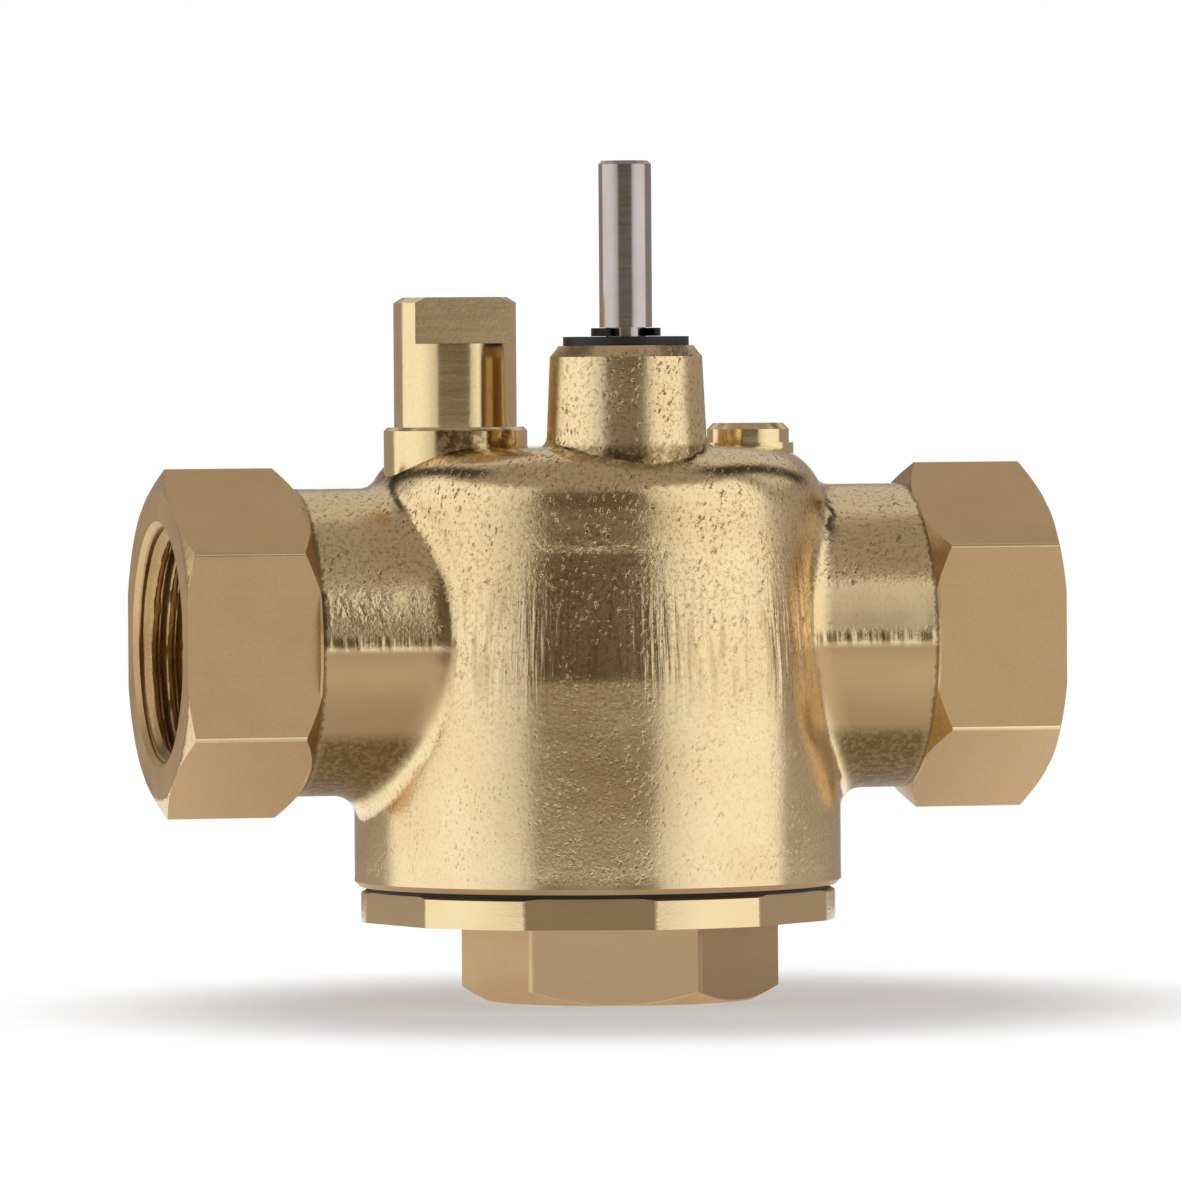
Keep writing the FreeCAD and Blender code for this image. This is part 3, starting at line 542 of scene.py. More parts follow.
# Darkening on the bright brass: dark blotches on the front of the collar, and a dark stripe down the post
# that is a painted reflection
def paint_post_reflection_and_blotch(material):
    tree = material.node_tree
    shader = tree.nodes["Principled BSDF"]
    tone = shader.inputs["Base Color"].links[0].from_socket
    plain = place(tree)
    level = dot(tree, plain, UP)
    aside = calc(tree, "SUBTRACT", dot(tree, plain, POST_ASIDE), POST.dot(POST_ASIDE))
    forward = calc(tree, "SUBTRACT", dot(tree, plain, POST_FRONT), POST.dot(POST_FRONT))
    # Painted dark reflection: an upright stripe down the front of the post
    reflection_stripe = times(tree, band(tree, aside, *POST_REFLECTION_STRIPE, 0.0003), 0.8)
    reflection_stripe = times(tree, reflection_stripe, band(tree, level, COLLAR_TOP, POST_FLAT, 0.00005))
    blotch = ramp(tree, grain(tree, plain, BLOTCH_SCALE, 4.0, 0.7), 0.4, 0.56, 0.35, 0.95)
    blotch = times(tree, blotch, band(tree, aside, *COLLAR_BLOTCH, 0.0004))
    blotch = times(tree, blotch, ramp(tree, level, COLLAR_TOP - 0.0004, COLLAR_TOP - 0.0001, 1.0, 0.0))
    dark = times(tree, calc(tree, "ADD", reflection_stripe, blotch), ramp(tree, forward, 0.0, 0.001))
    link(tree, blend_colour(tree, dark, tone, REFLECTION_AND_BLOTCH_TONE), shader.inputs["Base Color"])


# Bottom cap: satin hex with painted light on one flat and painted shade on another, bright where the
# flange rim was turned
def make_cap_brass():
    material, tree, shader = new_material("cap_brass")
    plain = place(tree)
    mottle, fine, lines = metal_grain(tree, plain, CUT_LEVEL)
    flange = ramp(tree, dot(tree, plain, UP), FLANGE_BASE - 0.0001, FLANGE_BASE)
    reach = distance(tree, plain, BARREL, LEVEL)
    turned = times(tree, ramp(tree, reach, FLANGE_RIM - 0.00012, FLANGE_RIM - 0.00002), flange)
    to_front = dot(tree, plain, LOW_FRONT)
    # Painted light: the front flat lighter
    painted_light_flat = ramp(tree, to_front, LOW_FLAT - 0.0003, LOW_FLAT - 0.0001)
    to_side = calc(tree, "SUBTRACT", dot(tree, plain, LOW_SIDE), BOTTOM_PORT.dot(LOW_SIDE))
    # Painted shade: one side flat darker
    dull = ramp(tree, to_side, LOW_SIDE_FLAT - 0.0003, LOW_SIDE_FLAT - 0.0001)
    wander = ramp(tree, mottle, 0.3, 0.7)
    satin = blend_colour(tree, wander, CAP_DARK, CAP_LIGHT)
    satin = blend_colour(tree, painted_light_flat, satin, CAP_PAINTED_LIGHT)
    satin = blend_colour(tree, dull, satin, CAP_PAINTED_SHADE)
    satin = blend_colour(tree, flange, satin, FLANGE_TONE)
    bright = blend_colour(tree, wander, BRIGHT_DARK, BRIGHT_LIGHT)
    link(tree, blend_colour(tree, turned, satin, bright), shader.inputs["Base Color"])
    shader.inputs["Metallic"].default_value = 1.0
    rough = ramp(tree, turned, 0.0, 1.0, 0.46, 0.17)
    rough = calc(tree, "ADD", rough, ramp(tree, mottle, 0.25, 0.75, -0.03, 0.03))
    link(tree, rough, shader.inputs["Roughness"])
    normal = bump(tree, lines, CUT_DEPTH, bump(tree, fine, SATIN_DEPTH))
    link(tree, normal, shader.inputs["Normal"])
    return material


# Ground steel with fine turning lines
def make_steel(name, tone, rough):
    material, tree, shader = new_material(name)
    rings = grain(tree, place(tree, CUT_RINGS), RING_SCALE, 3.0, 0.6)
    smudge = grain(tree, place(tree), SMUDGE_SCALE, 3.0, 0.5)
    low = colour(tone * 0.9, tone * 0.82, tone * 0.81)
    high = colour(tone, tone * 0.92, tone * 0.91)
    link(tree, blend_colour(tree, ramp(tree, smudge, 0.3, 0.7), low, high), shader.inputs["Base Color"])
    shader.inputs["Metallic"].default_value = 1.0
    link(tree, ramp(tree, rings, 0.25, 0.75, rough * 0.8, rough * 1.2), shader.inputs["Roughness"])
    link(tree, bump(tree, rings, BRIGHT_DEPTH), shader.inputs["Normal"])
    return material


# Matt dark or pale moulded pieces
def make_moulded(name, tone, rough):
    material, tree, shader = new_material(name)
    plain = place(tree)
    speck = grain(tree, plain, MOULD_SCALE, 3.0, 0.6)
    patch = grain(tree, plain, MOULD_PATCH_SCALE, 3.0, 0.5)
    low = colour(tone * 0.7, tone * 0.7, tone * 0.7)
    high = colour(tone * 1.2, tone * 1.2, tone * 1.18)
    link(tree, blend_colour(tree, ramp(tree, patch, 0.3, 0.7), low, high), shader.inputs["Base Color"])
    link(tree, ramp(tree, speck, 0.25, 0.75, rough - 0.08, rough + 0.08), shader.inputs["Roughness"])
    link(tree, bump(tree, speck, MOULD_DEPTH), shader.inputs["Normal"])
    return material


cast_brass = make_cast_brass()
satin_brass = make_machined_brass("satin_brass", SATIN_DARK, SATIN_LIGHT, 0.45, CUT_ALONG, SATIN_DEPTH)
bright_brass = make_machined_brass(
    "bright_brass", BRIGHT_DARK, BRIGHT_LIGHT, 0.14, CUT_LEVEL, BRIGHT_DEPTH, TURNED_DEPTH
)
# Painted dark reflection down the post, and dark blotches on the collar
paint_post_reflection_and_blotch(bright_brass)
thread_brass = make_machined_brass("thread_brass", THREAD_DARK, THREAD_LIGHT, 0.3, CUT_ROUND, TURNED_DEPTH)
seat_brass = make_machined_brass("seat_brass", SATIN_LIGHT, BRIGHT_DARK, 0.26, CUT_ROUND, TURNED_DEPTH)
turned_brass = make_machined_brass("turned_brass", SATIN_LIGHT, BRIGHT_DARK, 0.24, CUT_ROUND, TURNED_DEPTH)
cap_brass = make_cap_brass()
steel = make_steel("stem_steel", 0.6, 0.16)
black_steel = make_steel("black_steel", 0.03, 0.35)
rubber = make_moulded("black_rubber", 0.02, 0.6)
plug_rubber = make_moulded("plug_rubber", 0.03, 0.55)
dark_plastic = make_moulded("dark_plastic", 0.012, 0.45)
white_plastic = make_moulded("white_plastic", 0.7, 0.4)

FINISHES = {
    "bottom_cap": cap_brass,
    "cap_gasket": rubber,
    "seat_left": seat_brass,
    "seat_right": seat_brass,
    "stem": steel,
    "stem_bush": dark_plastic,
    "stem_seal_upper": rubber,
    "stem_seal_lower": rubber,
    "thrust_washer": white_plastic,
    "dust_washer": dark_plastic,
    "retaining_ring": black_steel,
    "paddle_plate": steel,
    "paddle_pin": steel,
    "plug_left": plug_rubber,
    "plug_right": plug_rubber,
    "plug_rivet": steel,
}
for name, material in FINISHES.items():
    put(nodes[name], material)


def unit(rows):
    """Each row scaled to a length of one."""
    return rows / np.maximum(np.linalg.norm(rows, axis=1, keepdims=True), 1e-9)


# Round surfaces of the body: points that divide its facets are set on these
class Wall:
    """Round wall about an upright axis, straight or conical between two heights."""

    def __init__(self, axis, low, low_radius, high, high_radius, finish):
        self.axis = np.array(axis)[:2]
        self.low = low
        self.high = high
        self.low_radius = low_radius
        self.lean = (high_radius - low_radius) / (high - low)
        self.finish = finish

    def settle(self, points):
        away = points[:, :2] - self.axis
        wanted = self.low_radius + self.lean * (points[:, 2:] - self.low)
        placed = points.copy()
        placed[:, :2] = self.axis + unit(away) * wanted
        return placed

    def normals(self, points):
        across = unit(points[:, :2] - self.axis)
        return unit(np.column_stack((across, np.full(len(points), -self.lean))))

    def covers(self, points):
        return (points[:, 2] > self.low - NEAR) & (points[:, 2] < self.high + NEAR)


class Shoulder:
    """Round that joins the tapered barrel wall to its flat top."""

    def __init__(self, ring_radius, ring_height, radius, finish):
        self.ring_radius = ring_radius
        self.ring_height = ring_height
        self.radius = radius
        self.finish = finish

    def ring_points(self, points):
        flat = unit(points[:, :2]) * self.ring_radius
        return np.column_stack((flat, np.full(len(points), self.ring_height)))

    def normals(self, points):
        return unit(points - self.ring_points(points))

    def settle(self, points):
        return self.ring_points(points) + self.normals(points) * self.radius

    def covers(self, points):
        return points[:, 2] > self.ring_height - NEAR


class Neck:
    """Cylinder of both side necks."""

    def __init__(self, finish):
        self.finish = finish

    def normals(self, points):
        across = unit(points[:, 1:] - PORT_CENTRE)
        return np.column_stack((np.zeros(len(points)), across))

    def settle(self, points):
        placed = points.copy()
        placed[:, 1:] = PORT_CENTRE + unit(points[:, 1:] - PORT_CENTRE) * NECK_RADIUS
        return placed

    def covers(self, points):
        return np.abs(points[:, 0]) < NECK_END + NEAR


class Chamfer:
    """Turned chamfer at one end of each hex, a cone about the port axis."""

    def __init__(self, start, start_radius, slope, finish):
        self.start = start
        self.start_radius = start_radius
        self.slope = slope
        self.finish = finish

    def radii(self, points):
        return np.linalg.norm(points[:, 1:] - PORT_CENTRE, axis=1)

    def settle(self, points):
        reach = self.start + (self.radii(points) - self.start_radius) * self.slope
        placed = points.copy()
        placed[:, 0] = np.sign(points[:, 0]) * np.minimum(reach, HALF_LENGTH)
        return placed

    def normals(self, points):
        across = unit(points[:, 1:] - PORT_CENTRE) * -self.slope
        return unit(np.column_stack((np.sign(points[:, 0]), across)))

    def covers(self, points):
        return (self.radii(points) > self.start_radius - NEAR) & (np.abs(points[:, 0]) > HEX_START - NEAR)


# Finishes of the body, in the order of its materials
CAST, SATIN, BRIGHT, TURNED, DULL = range(5)
BODY_MATERIALS = (cast_brass, satin_brass, bright_brass, turned_brass, thread_brass)

# Heights at which one round surface ends and the next begins
BARREL_EDGE = BARREL_BASE + BARREL_CHAMFER
BOSS_EDGE = BOSS_TOP - BOSS_CHAMFER_HEIGHT
COLLAR_EDGE = COLLAR_TOP - COLLAR_CHAMFER
POST_EDGE = POST_TOP - POST_CHAMFER_HEIGHT
BUTTON_EDGE = BUTTON_TOP - BUTTON_CHAMFER

SURFACES = [
    Wall(BARREL, BARREL_BASE, BARREL_RADIUS - BARREL_CHAMFER, BARREL_EDGE, BARREL_RADIUS, SATIN),
    Wall(BARREL, BARREL_EDGE, BARREL_RADIUS, BARREL_STRAIGHT, BARREL_RADIUS, CAST),
    Wall(BARREL, BARREL_STRAIGHT, BARREL_RADIUS, BARREL_TOP, BARREL_RADIUS - BARREL_TAPER, CAST),
    Shoulder(SHOULDER_RING, BARREL_TOP - SHOULDER_ROUND, SHOULDER_ROUND, CAST),
    Neck(CAST),
    Wall(STEM, BARREL_TOP, BOSS_BASE_RADIUS, BOSS_EDGE, BOSS_TOP_RADIUS, CAST),
    Wall(STEM, BOSS_EDGE, BOSS_TOP_RADIUS, BOSS_TOP, BOSS_TOP_RADIUS - BOSS_CHAMFER_WIDTH, CAST),
    Wall(POST, ROOF - 0.002, COLLAR_RADIUS, COLLAR_EDGE, COLLAR_RADIUS, BRIGHT),
    Wall(POST, COLLAR_EDGE, COLLAR_RADIUS, COLLAR_TOP, COLLAR_RADIUS - COLLAR_CHAMFER, BRIGHT),
    Wall(POST, COLLAR_TOP, POST_RADIUS, POST_EDGE, POST_RADIUS, BRIGHT),
    Wall(POST, POST_EDGE, POST_RADIUS, POST_TOP, POST_RADIUS - POST_CHAMFER_WIDTH, BRIGHT),
    Wall(BUTTON, ROOF, PAD_RADIUS, PAD_TOP, PAD_RADIUS, BRIGHT),
    Wall(BUTTON, PAD_TOP, BUTTON_RADIUS, BUTTON_EDGE, BUTTON_RADIUS, BRIGHT),
    Wall(BUTTON, BUTTON_EDGE, BUTTON_RADIUS, BUTTON_TOP, BUTTON_RADIUS - BUTTON_CHAMFER, BRIGHT),
    Chamfer(HEX_START, NECK_RADIUS, HEX_BACK_SLOPE, DULL),
    Chamfer(HALF_LENGTH, HEX_FACE_CIRCLE, HEX_FACE_SLOPE, TURNED),
]


def from_axis(point, axis):
    return math.hypot(point[0] - axis.x, point[1] - axis.y)


def on_hex_corner(point, facing):
    """True on the narrow rounds between the flats of a hex, which are rubbed bright."""
    if abs(point[0]) < HEX_START or abs(facing[0]) > 0.3:
        return False
    if math.hypot(point[1], point[2] - PORT_Z) < NECK_RADIUS:
        return False
    turn = math.degrees(math.atan2(facing[2], facing[1])) % 60.0
    return 5.0 < turn < 55.0


def plain_finish(point, facing):
    """Finish of a point on a flat or blended face of the body."""
    if on_hex_corner(point, facing):
        return BRIGHT
    if abs(point[0]) > HEX_START - MARGIN or point[2] < BARREL_EDGE + MARGIN:
        return SATIN
    in_port = math.hypot(point[1], point[2] - PORT_Z) < NECK_RADIUS - 0.002
    if in_port and abs(point[0]) > NECK_ROOT:
        return SATIN
    if from_axis(point, BARREL) < CHAMBER_RADIUS and point[2] < ROOF + 0.001:
        return SATIN
    on_collar = from_axis(point, POST) < COLLAR_RADIUS + MARGIN and point[2] > ROOF
    on_pad = from_axis(point, BUTTON) < PAD_RADIUS + MARGIN and point[2] > BARREL_TOP + MARGIN / 2
    in_boss = from_axis(point, STEM) < BOSS_BORE or point[2] > BOSS_EDGE + MARGIN
    return BRIGHT if on_collar or on_pad or in_boss else CAST


def mark_faces(work, surface_layer, finish_layer):
    """Note on each facet which round surface it belongs to and how it is finished."""
    points = np.array([vert.co for vert in work.verts])
    corners = np.array([[vert.index for vert in face.verts] for face in work.faces])
    facing = np.array([face.normal for face in work.faces])
    centres = points[corners].mean(axis=1)
    chosen = np.zeros(len(corners), dtype=int)
    for number, surface in enumerate(SURFACES, start=1):
        off = np.linalg.norm(surface.settle(points) - points, axis=1)
        near = (off < NEAR) & surface.covers(points)
        sag = np.linalg.norm(surface.settle(centres) - centres, axis=1)
        along = np.abs((surface.normals(centres) * facing).sum(axis=1))
        fits = near[corners].all(axis=1) & (sag < MOST_SAG) & (along > 0.9)
        chosen[fits & (chosen == 0)] = number
    for face, number, centre in zip(work.faces, chosen, centres):
        face[surface_layer] = int(number)
        face[finish_layer] = SURFACES[number - 1].finish if number else plain_finish(centre, face.normal)


def cut_necks(work, finish_layer):
    """Split the facets of the necks where the hexes begin and finish what lies beyond as the hexes."""
    for side in (-HEX_START, HEX_START):
        ends = [face for face in work.faces if abs(face.calc_center_median().x - side) < CUT_REACH]
        edges = {edge for face in ends for edge in face.edges}
        verts = {vert for face in ends for vert in face.verts}
        bmesh.ops.bisect_plane(
            work,
            geom=ends + list(edges) + list(verts),
            dist=1e-6,
            plane_co=(side, 0.0, 0.0),
            plane_no=(1.0, 0.0, 0.0),
        )
    bmesh.ops.triangulate(work, faces=[face for face in work.faces if len(face.verts) > 3])
    for face in work.faces:
        if face[finish_layer] == CAST and abs(face.calc_center_median().x) > HEX_START:
            face[finish_layer] = SATIN


def divide(work, surface_layer, finish_layer, target):
    """Split every edge of a cast or round facet that is longer than the target."""
    for round_number in range(10):
        long_edges = []
        for edge in work.edges:
            if edge.calc_length() > target and any(
                face[surface_layer] or face[finish_layer] == CAST for face in edge.link_faces
            ):
                long_edges.append(edge)
        if not long_edges:
            return
        bmesh.ops.subdivide_edges(work, edges=long_edges, cuts=1)
        bmesh.ops.triangulate(work, faces=[face for face in work.faces if len(face.verts) > 3])


def even_out(points, pairs, free, rounds):
    """Smooth free points without shrinking, so that the facets of the blends melt into curves."""
    first, second = pairs[:, 0], pairs[:, 1]
    count = np.bincount(pairs.ravel(), minlength=len(points))[:, None]
    for step in range(rounds * 2):
        total = np.zeros_like(points)
        for axis in range(3):
            total[:, axis] = np.bincount(first, points[second, axis], len(points))
            total[:, axis] += np.bincount(second, points[first, axis], len(points))
        share = -0.53 if step % 2 else 0.5
        points[free] += ((total / count - points) * share)[free]
    return points


def cast_weights(points, cast):
    """One on the cast skin, falling to zero at the edge of every machined face."""
    machined = np.flatnonzero(~cast)
    tree = KDTree(len(machined))
    for index in machined:
        tree.insert(points[index], int(index))
    tree.balance()
    weight = np.zeros(len(points))
    for index in np.flatnonzero(cast):
        share = min(tree.find(points[index])[2] / CAST_FADE, 1.0)
        weight[index] = share * share * (3.0 - 2.0 * share)
    return weight


def cast_height(point):
    """Height of the cast surface against the true form, never above it: slow waves and small lumps."""
    waves = noise.noise(point * WAVE_SCALE) - 1.0
    lumps = noise.noise(point * LUMP_SCALE + LUMP_SHIFT) - 1.0
    return WAVE_DEPTH * waves + LUMP_DEPTH * lumps


def seat_necks(points):
    """Lower the very end of both necks onto the flats of the hexes."""
    offsets = points[:, 1:] - PORT_CENTRE
    turns = np.radians(np.arange(0.0, 360.0, 60.0))
    reach = (offsets @ np.array((np.cos(turns), np.sin(turns)))).max(axis=1)
    outwards = np.abs(points[:, 0])
    ends = (outwards > NECK_END - MARGIN) & (outwards < NECK_END + NEAR)
    high = ends & (reach > HEX_FLAT)
    points[high, 1:] = PORT_CENTRE + offsets[high] * (HEX_FLAT / reach[high])[:, None]
    return points


def shape_points(work, surface_layer, finish_layer):
    """Places of the points, set on their surfaces or evened out, and which of them are cast."""
    points = np.array([vert.co for vert in work.verts])
    member = np.zeros((len(points), len(SURFACES) + 1), dtype=bool)
    cast = np.ones(len(points), dtype=bool)
    for face in work.faces:
        for vert in face.verts:
            member[vert.index, face[surface_layer]] = True
            cast[vert.index] &= face[finish_layer] == CAST
    for step in range(3):
        for number, surface in enumerate(SURFACES, start=1):
            chosen = member[:, number]
            points[chosen] = surface.settle(points[chosen])
    points = seat_necks(points)
    pairs = np.array([[vert.index for vert in edge.verts] for edge in work.edges])
    points = even_out(points, pairs, cast & ~member[:, 1:].any(axis=1), 12)
    return points, cast


def roughen(work, points, cast):
    """Move the points to their places, make the cast ones uneven and return how far each is cast."""
    for vert, point in zip(work.verts, points):
        vert.co = point
    work.normal_update()
    weight = cast_weights(points, cast)
    shifts = [vert.normal * (cast_height(vert.co) * weight[vert.index]) for vert in work.verts]
    for vert, shift in zip(work.verts, shifts):
        vert.co += shift
    return weight


# Skin of the body: the solid's facets divided, set on their round surfaces and finished
def make_skin():
    work = bmesh.new()
    work.from_mesh(nodes["valve_body"].data)
    bmesh.ops.remove_doubles(work, verts=work.verts, dist=1e-7)
    bmesh.ops.triangulate(work, faces=work.faces)
    work.normal_update()
    surface_layer = work.faces.layers.int.new("surface")
    finish_layer = work.faces.layers.int.new("finish")
    mark_faces(work, surface_layer, finish_layer)
    cut_necks(work, finish_layer)
    divide(work, surface_layer, finish_layer, FACET_LENGTH)
    work.verts.index_update()
    points, cast = shape_points(work, surface_layer, finish_layer)
    weight = roughen(work, points, cast)
    finish = [face[finish_layer] for face in work.faces]
    mesh = bpy.data.meshes.new("body_skin")
    work.to_mesh(mesh)
    work.free()
    for stale in ("custom_normal", "sharp_edge"):
        if stale in mesh.attributes:
            mesh.attributes.remove(mesh.attributes[stale])
    layer = mesh.attributes.new("cast", "FLOAT", "POINT")
    layer.data.foreach_set("value", weight.astype(np.float32))
    mesh.shade_smooth()
    mesh.set_sharp_from_angle(angle=SHARP_BODY)
    skin = bpy.data.objects.new("body_skin", mesh)
    bpy.context.scene.collection.objects.link(skin)
    for material in BODY_MATERIALS:
        mesh.materials.append(material)
    mesh.polygons.foreach_set("material_index", finish)
    flatten_shading(skin)
    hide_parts("valve_body")
    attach(skin, "body")


make_skin()


# Pipe threads: a sleeve with helical ridges that fills the plain bore
def ring_point(matrix, radius, turn, along):
    """Point of a sleeve at one of its sides, placed by a matrix."""
    angle = 2.0 * math.pi * turn / SIDES_AROUND
    return matrix @ Vector((radius * math.cos(angle), radius * math.sin(angle), along))


def ridge_height(turn, along, length):
    """Share of the thread's full depth, running in at the mouth and out at the end."""
    phase = (along / THREAD_PITCH - turn / SIDES_AROUND) % 1.0
    ridge = min(1.0, max(0.0, (0.5 - abs(phase - 0.5)) * RIDGE_STEEPNESS - RIDGE_CUT))
    run_in = along / (RUN_IN * THREAD_PITCH)
    run_out = (length - along) / (RUN_OUT * THREAD_PITCH)
    return ridge * min(1.0, run_in, run_out)


def make_thread(name, matrix, length):
    """Thread along local Z from the mouth inwards, placed by a matrix."""
    rows = int(length / THREAD_PITCH * ROWS_PER_PITCH)
    verts = []
    for row in range(rows + 1):
        along = length * row / rows
        for turn in range(SIDES_AROUND):
            radius = THREAD_OUTER - THREAD_CLEARANCE - THREAD_DEPTH * ridge_height(turn, along, length)
            verts.append(ring_point(matrix, radius, turn, along))
    near = len(verts)
    far = near + SIDES_AROUND
    last = rows * SIDES_AROUND
    for along in (0.0, length):
        for turn in range(SIDES_AROUND):
            verts.append(ring_point(matrix, THREAD_OUTER - SLEEVE_CLEARANCE, turn, along))
    faces = []
    for turn in range(SIDES_AROUND):
        after = (turn + 1) % SIDES_AROUND
        for low in range(0, last, SIDES_AROUND):
            high = low + SIDES_AROUND
            faces.append((low + turn, high + turn, high + after, low + after))
        faces.append((near + turn, near + after, far + after, far + turn))
        faces.append((turn, after, near + after, near + turn))
        faces.append((last + after, last + turn, far + turn, far + after))
    mesh = bpy.data.meshes.new(name)
    mesh.from_pydata(verts, [], faces)
    work = bmesh.new()
    work.from_mesh(mesh)
    bmesh.ops.recalc_face_normals(work, faces=work.faces)
    work.to_mesh(mesh)
    work.free()
    mesh.shade_smooth()
    mesh.set_sharp_from_angle(angle=SHARP_THREAD)
    thread = bpy.data.objects.new(name, mesh)
    bpy.context.scene.collection.objects.link(thread)
    put(thread, thread_brass)
    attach(thread, "body")


mouth_x = HALF_LENGTH - THREAD_MOUTH
left = Matrix.Translation((-mouth_x, 0.0, PORT_Z)) @ Matrix.Rotation(math.radians(90.0), 4, "Y")
right = Matrix.Translation((mouth_x, 0.0, PORT_Z)) @ Matrix.Rotation(math.radians(-90.0), 4, "Y")
below = Matrix.Translation(BOTTOM_PORT + Vector((0.0, 0.0, THREAD_MOUTH)))
make_thread("thread_left", left, SIDE_THREAD_LENGTH)
make_thread("thread_right", right, SIDE_THREAD_LENGTH)
make_thread("thread_bottom", below, BOTTOM_THREAD_LENGTH)


# Pale floor with a painted shadow pool round the part, where its real shadow also shows, fading to white
# away from it
FLOOR_RADIUS = 0.2
FLOOR_DROP = 0.00005
FLOOR_TONE = colour(0.85, 0.85, 0.85)
SHADE_CENTRE = (0.002, -0.014, 0.0)
SHADE_SIZE = (0.07, 0.078, 1.0)


def make_floor():
    mesh = bpy.data.meshes.new("floor")
    work = bmesh.new()
    bmesh.ops.create_circle(work, cap_ends=True, segments=96, radius=FLOOR_RADIUS)
    work.to_mesh(mesh)
    work.free()
    floor = bpy.data.objects.new("floor", mesh)
    floor.location.z = -FLOOR_DROP
    bpy.context.scene.collection.objects.link(floor)
    material = bpy.data.materials.new("floor_paper")
    material.use_nodes = True
    tree = material.node_tree
    tree.nodes.clear()
    output = tree.nodes.new("ShaderNodeOutputMaterial")
    paper = tree.nodes.new("ShaderNodeBsdfDiffuse")
    paper.inputs["Color"].default_value = FLOOR_TONE
    spot = tree.nodes.new("ShaderNodeTexCoord")
    shade = tree.nodes.new("ShaderNodeMapping")
    shade.vector_type = "TEXTURE"
    shade.inputs["Location"].default_value = SHADE_CENTRE
    shade.inputs["Rotation"].default_value = (0.0, 0.0, VIEW_TURN)
    shade.inputs["Scale"].default_value = SHADE_SIZE
    link(tree, spot.outputs["Object"], shade.inputs["Vector"])
    reach = distance(tree, shade.outputs["Vector"], (0.0, 0.0, 0.0), LEVEL)
    # Painted shadow pool: less white in an ellipse round the part
    glow = ramp(tree, reach, 0.5, 1.1, 0.38, 1.0)
    white = tree.nodes.new("ShaderNodeEmission")
    rays = tree.nodes.new("ShaderNodeLightPath")
    seen = calc(tree, "MAXIMUM", rays.outputs["Is Camera Ray"], rays.outputs["Is Glossy Ray"])
    seen = calc(tree, "MAXIMUM", seen, rays.outputs["Is Transmission Ray"])
    mix = tree.nodes.new("ShaderNodeMixShader")
    link(tree, times(tree, seen, glow), mix.inputs["Fac"])
    link(tree, paper.outputs["BSDF"], mix.inputs[1])
    link(tree, white.outputs["Emission"], mix.inputs[2])
    link(tree, mix.outputs["Shader"], output.inputs["Surface"])
    put(floor, material)


make_floor()


# Studio tones
ROOM_TONE = colour(0.33, 0.285, 0.255)
OVERHEAD_TONE = colour(0.58, 0.55, 0.52)
PANEL_TONE = colour(1.0, 0.985, 0.96)
PANEL_EDGE_TONE = colour(0.5, 0.47, 0.44)
GAP_TONE = colour(0.11, 0.088, 0.062)
RIM_TONE = colour(0.03, 0.025, 0.02)
WHITE = colour(1.0, 1.0, 1.0)

# Studio directions in degrees: sideways from the lens, or up from the horizon
LEFT_PANEL = (-116.0, -31.0)
LEFT_FADE = (-70.0, -18.0)
RIGHT_PANEL = (27.0, 97.0)
RIGHT_FADE = (15.0, 55.0)
PANEL_RISE = (-18.0, 42.0)
LOW_GAP = (-31.0, 29.3)
LOW_GAP_RISE = (-0.8, 18.0)
HIGH_GAP = (-31.0, 27.0)
HIGH_GAP_RISE = (17.0, 36.0)
RIM_RISE = (10.0, 20.0)
OVERHEAD_RISE = (16.0, 26.0)
BELOW_HORIZON = (-8.5, -7.5)


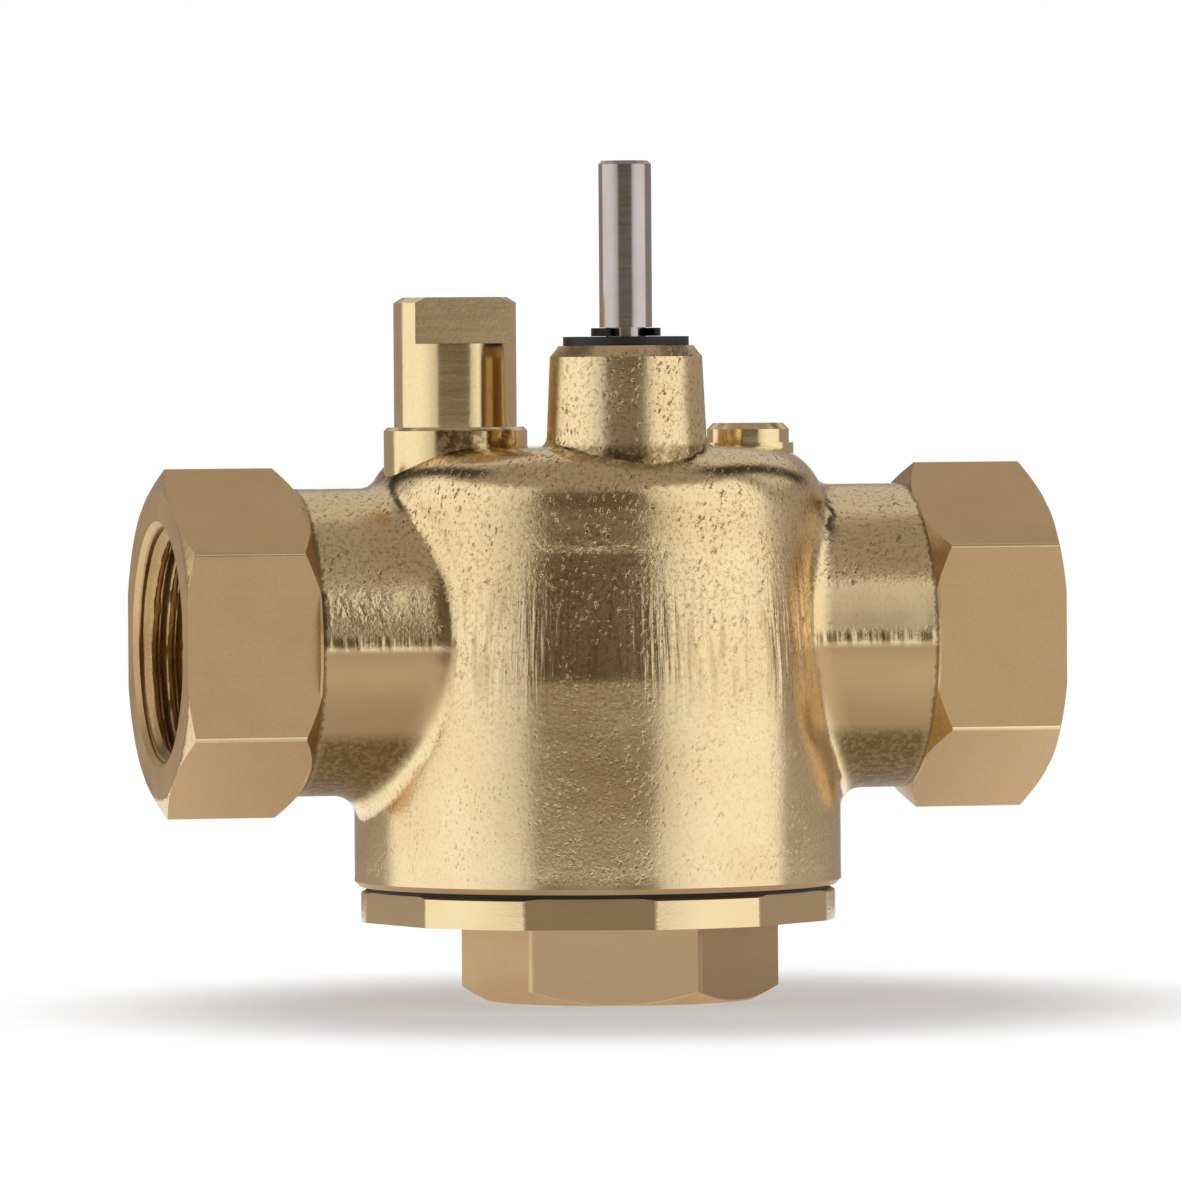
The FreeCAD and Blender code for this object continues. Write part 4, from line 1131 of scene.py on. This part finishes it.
# Studio: a soft panel either side of the lens, a dark gap between them, a dim room round it
def make_studio():
    world = bpy.data.worlds.new("studio")
    bpy.context.scene.world = world
    world.use_nodes = True
    tree = world.node_tree
    tree.nodes.clear()
    output = tree.nodes.new("ShaderNodeOutputWorld")
    sky = tree.nodes.new("ShaderNodeBackground")
    ray = tree.nodes.new("ShaderNodeTexCoord").outputs["Generated"]
    ahead = dot(tree, ray, outward(VIEW_TURN))
    aside = dot(tree, ray, sideward(VIEW_TURN))
    bearing = calc(tree, "DEGREES", calc(tree, "ARCTAN2", aside, ahead))
    rise = calc(tree, "DEGREES", calc(tree, "ARCSINE", dot(tree, ray, UP)))

    # Panels, brightest away from the lens
    waist = band(tree, rise, *PANEL_RISE, 4.0)
    left_panel = times(tree, band(tree, bearing, *LEFT_PANEL, 2.0), waist)
    left_light = blend_colour(tree, ramp(tree, bearing, *LEFT_FADE), PANEL_TONE, PANEL_EDGE_TONE)
    right_panel = times(tree, band(tree, bearing, *RIGHT_PANEL, 2.0), waist)
    right_light = blend_colour(tree, ramp(tree, bearing, *RIGHT_FADE), PANEL_EDGE_TONE, PANEL_TONE)

    # Dark gap between the panels, wider below
    low_gap = times(tree, band(tree, bearing, *LOW_GAP, 1.0), band(tree, rise, *LOW_GAP_RISE, 0.8))
    high_gap = times(tree, band(tree, bearing, *HIGH_GAP, 1.5), band(tree, rise, *HIGH_GAP_RISE, 0.8))
    gap = calc(tree, "MAXIMUM", low_gap, high_gap)

    # Dark strips behind the part, light overhead, and white behind it and below the horizon
    behind = ramp(tree, ahead, -0.1, 0.1, 1.0, 0.0)
    strip = band(tree, calc(tree, "ABSOLUTE", aside), 0.5, 0.68, 0.025)
    rim = times(tree, strip, behind, ramp(tree, rise, *RIM_RISE))
    overhead = times(tree, ramp(tree, rise, *OVERHEAD_RISE), ramp(tree, ahead, -0.35, -0.2, 1.0, 0.0))
    backdrop = ramp(tree, ahead, -0.9945, -0.985, 1.0, 0.0)
    backdrop = calc(tree, "MAXIMUM", backdrop, ramp(tree, rise, *BELOW_HORIZON, 1.0, 0.0))

    light = blend_colour(tree, overhead, ROOM_TONE, OVERHEAD_TONE)
    light = blend_colour(tree, left_panel, light, left_light)
    light = blend_colour(tree, right_panel, light, right_light)
    light = blend_colour(tree, gap, light, GAP_TONE)
    light = blend_colour(tree, rim, light, RIM_TONE)
    light = blend_colour(tree, backdrop, light, WHITE)
    link(tree, light, sky.inputs["Color"])
    link(tree, sky.outputs["Background"], output.inputs["Surface"])


make_studio()


# Camera at the photograph's angle
def make_camera():
    data = bpy.data.cameras.new("camera")
    data.sensor_fit = "HORIZONTAL"
    data.sensor_width = SENSOR_WIDTH
    data.lens = LENS_LENGTH
    data.clip_end = 20.0
    camera = bpy.data.objects.new("camera", data)
    bpy.context.scene.collection.objects.link(camera)
    back = Vector(outward(VIEW_TURN)) * math.cos(VIEW_RISE) + Vector(UP) * math.sin(VIEW_RISE)
    side = Vector(sideward(VIEW_TURN))
    up = back.cross(side)
    spot = VIEW_TARGET + back * VIEW_DISTANCE + side * VIEW_SHIFT
    turned_side = side * math.cos(VIEW_ROLL) - up * math.sin(VIEW_ROLL)
    turned_up = back.cross(turned_side)
    matrix = Matrix((turned_side, turned_up, back)).transposed().to_4x4()
    matrix.translation = spot
    camera.matrix_world = matrix
    bpy.context.scene.camera = camera


make_camera()
bpy.context.scene.view_settings.view_transform = "Standard"
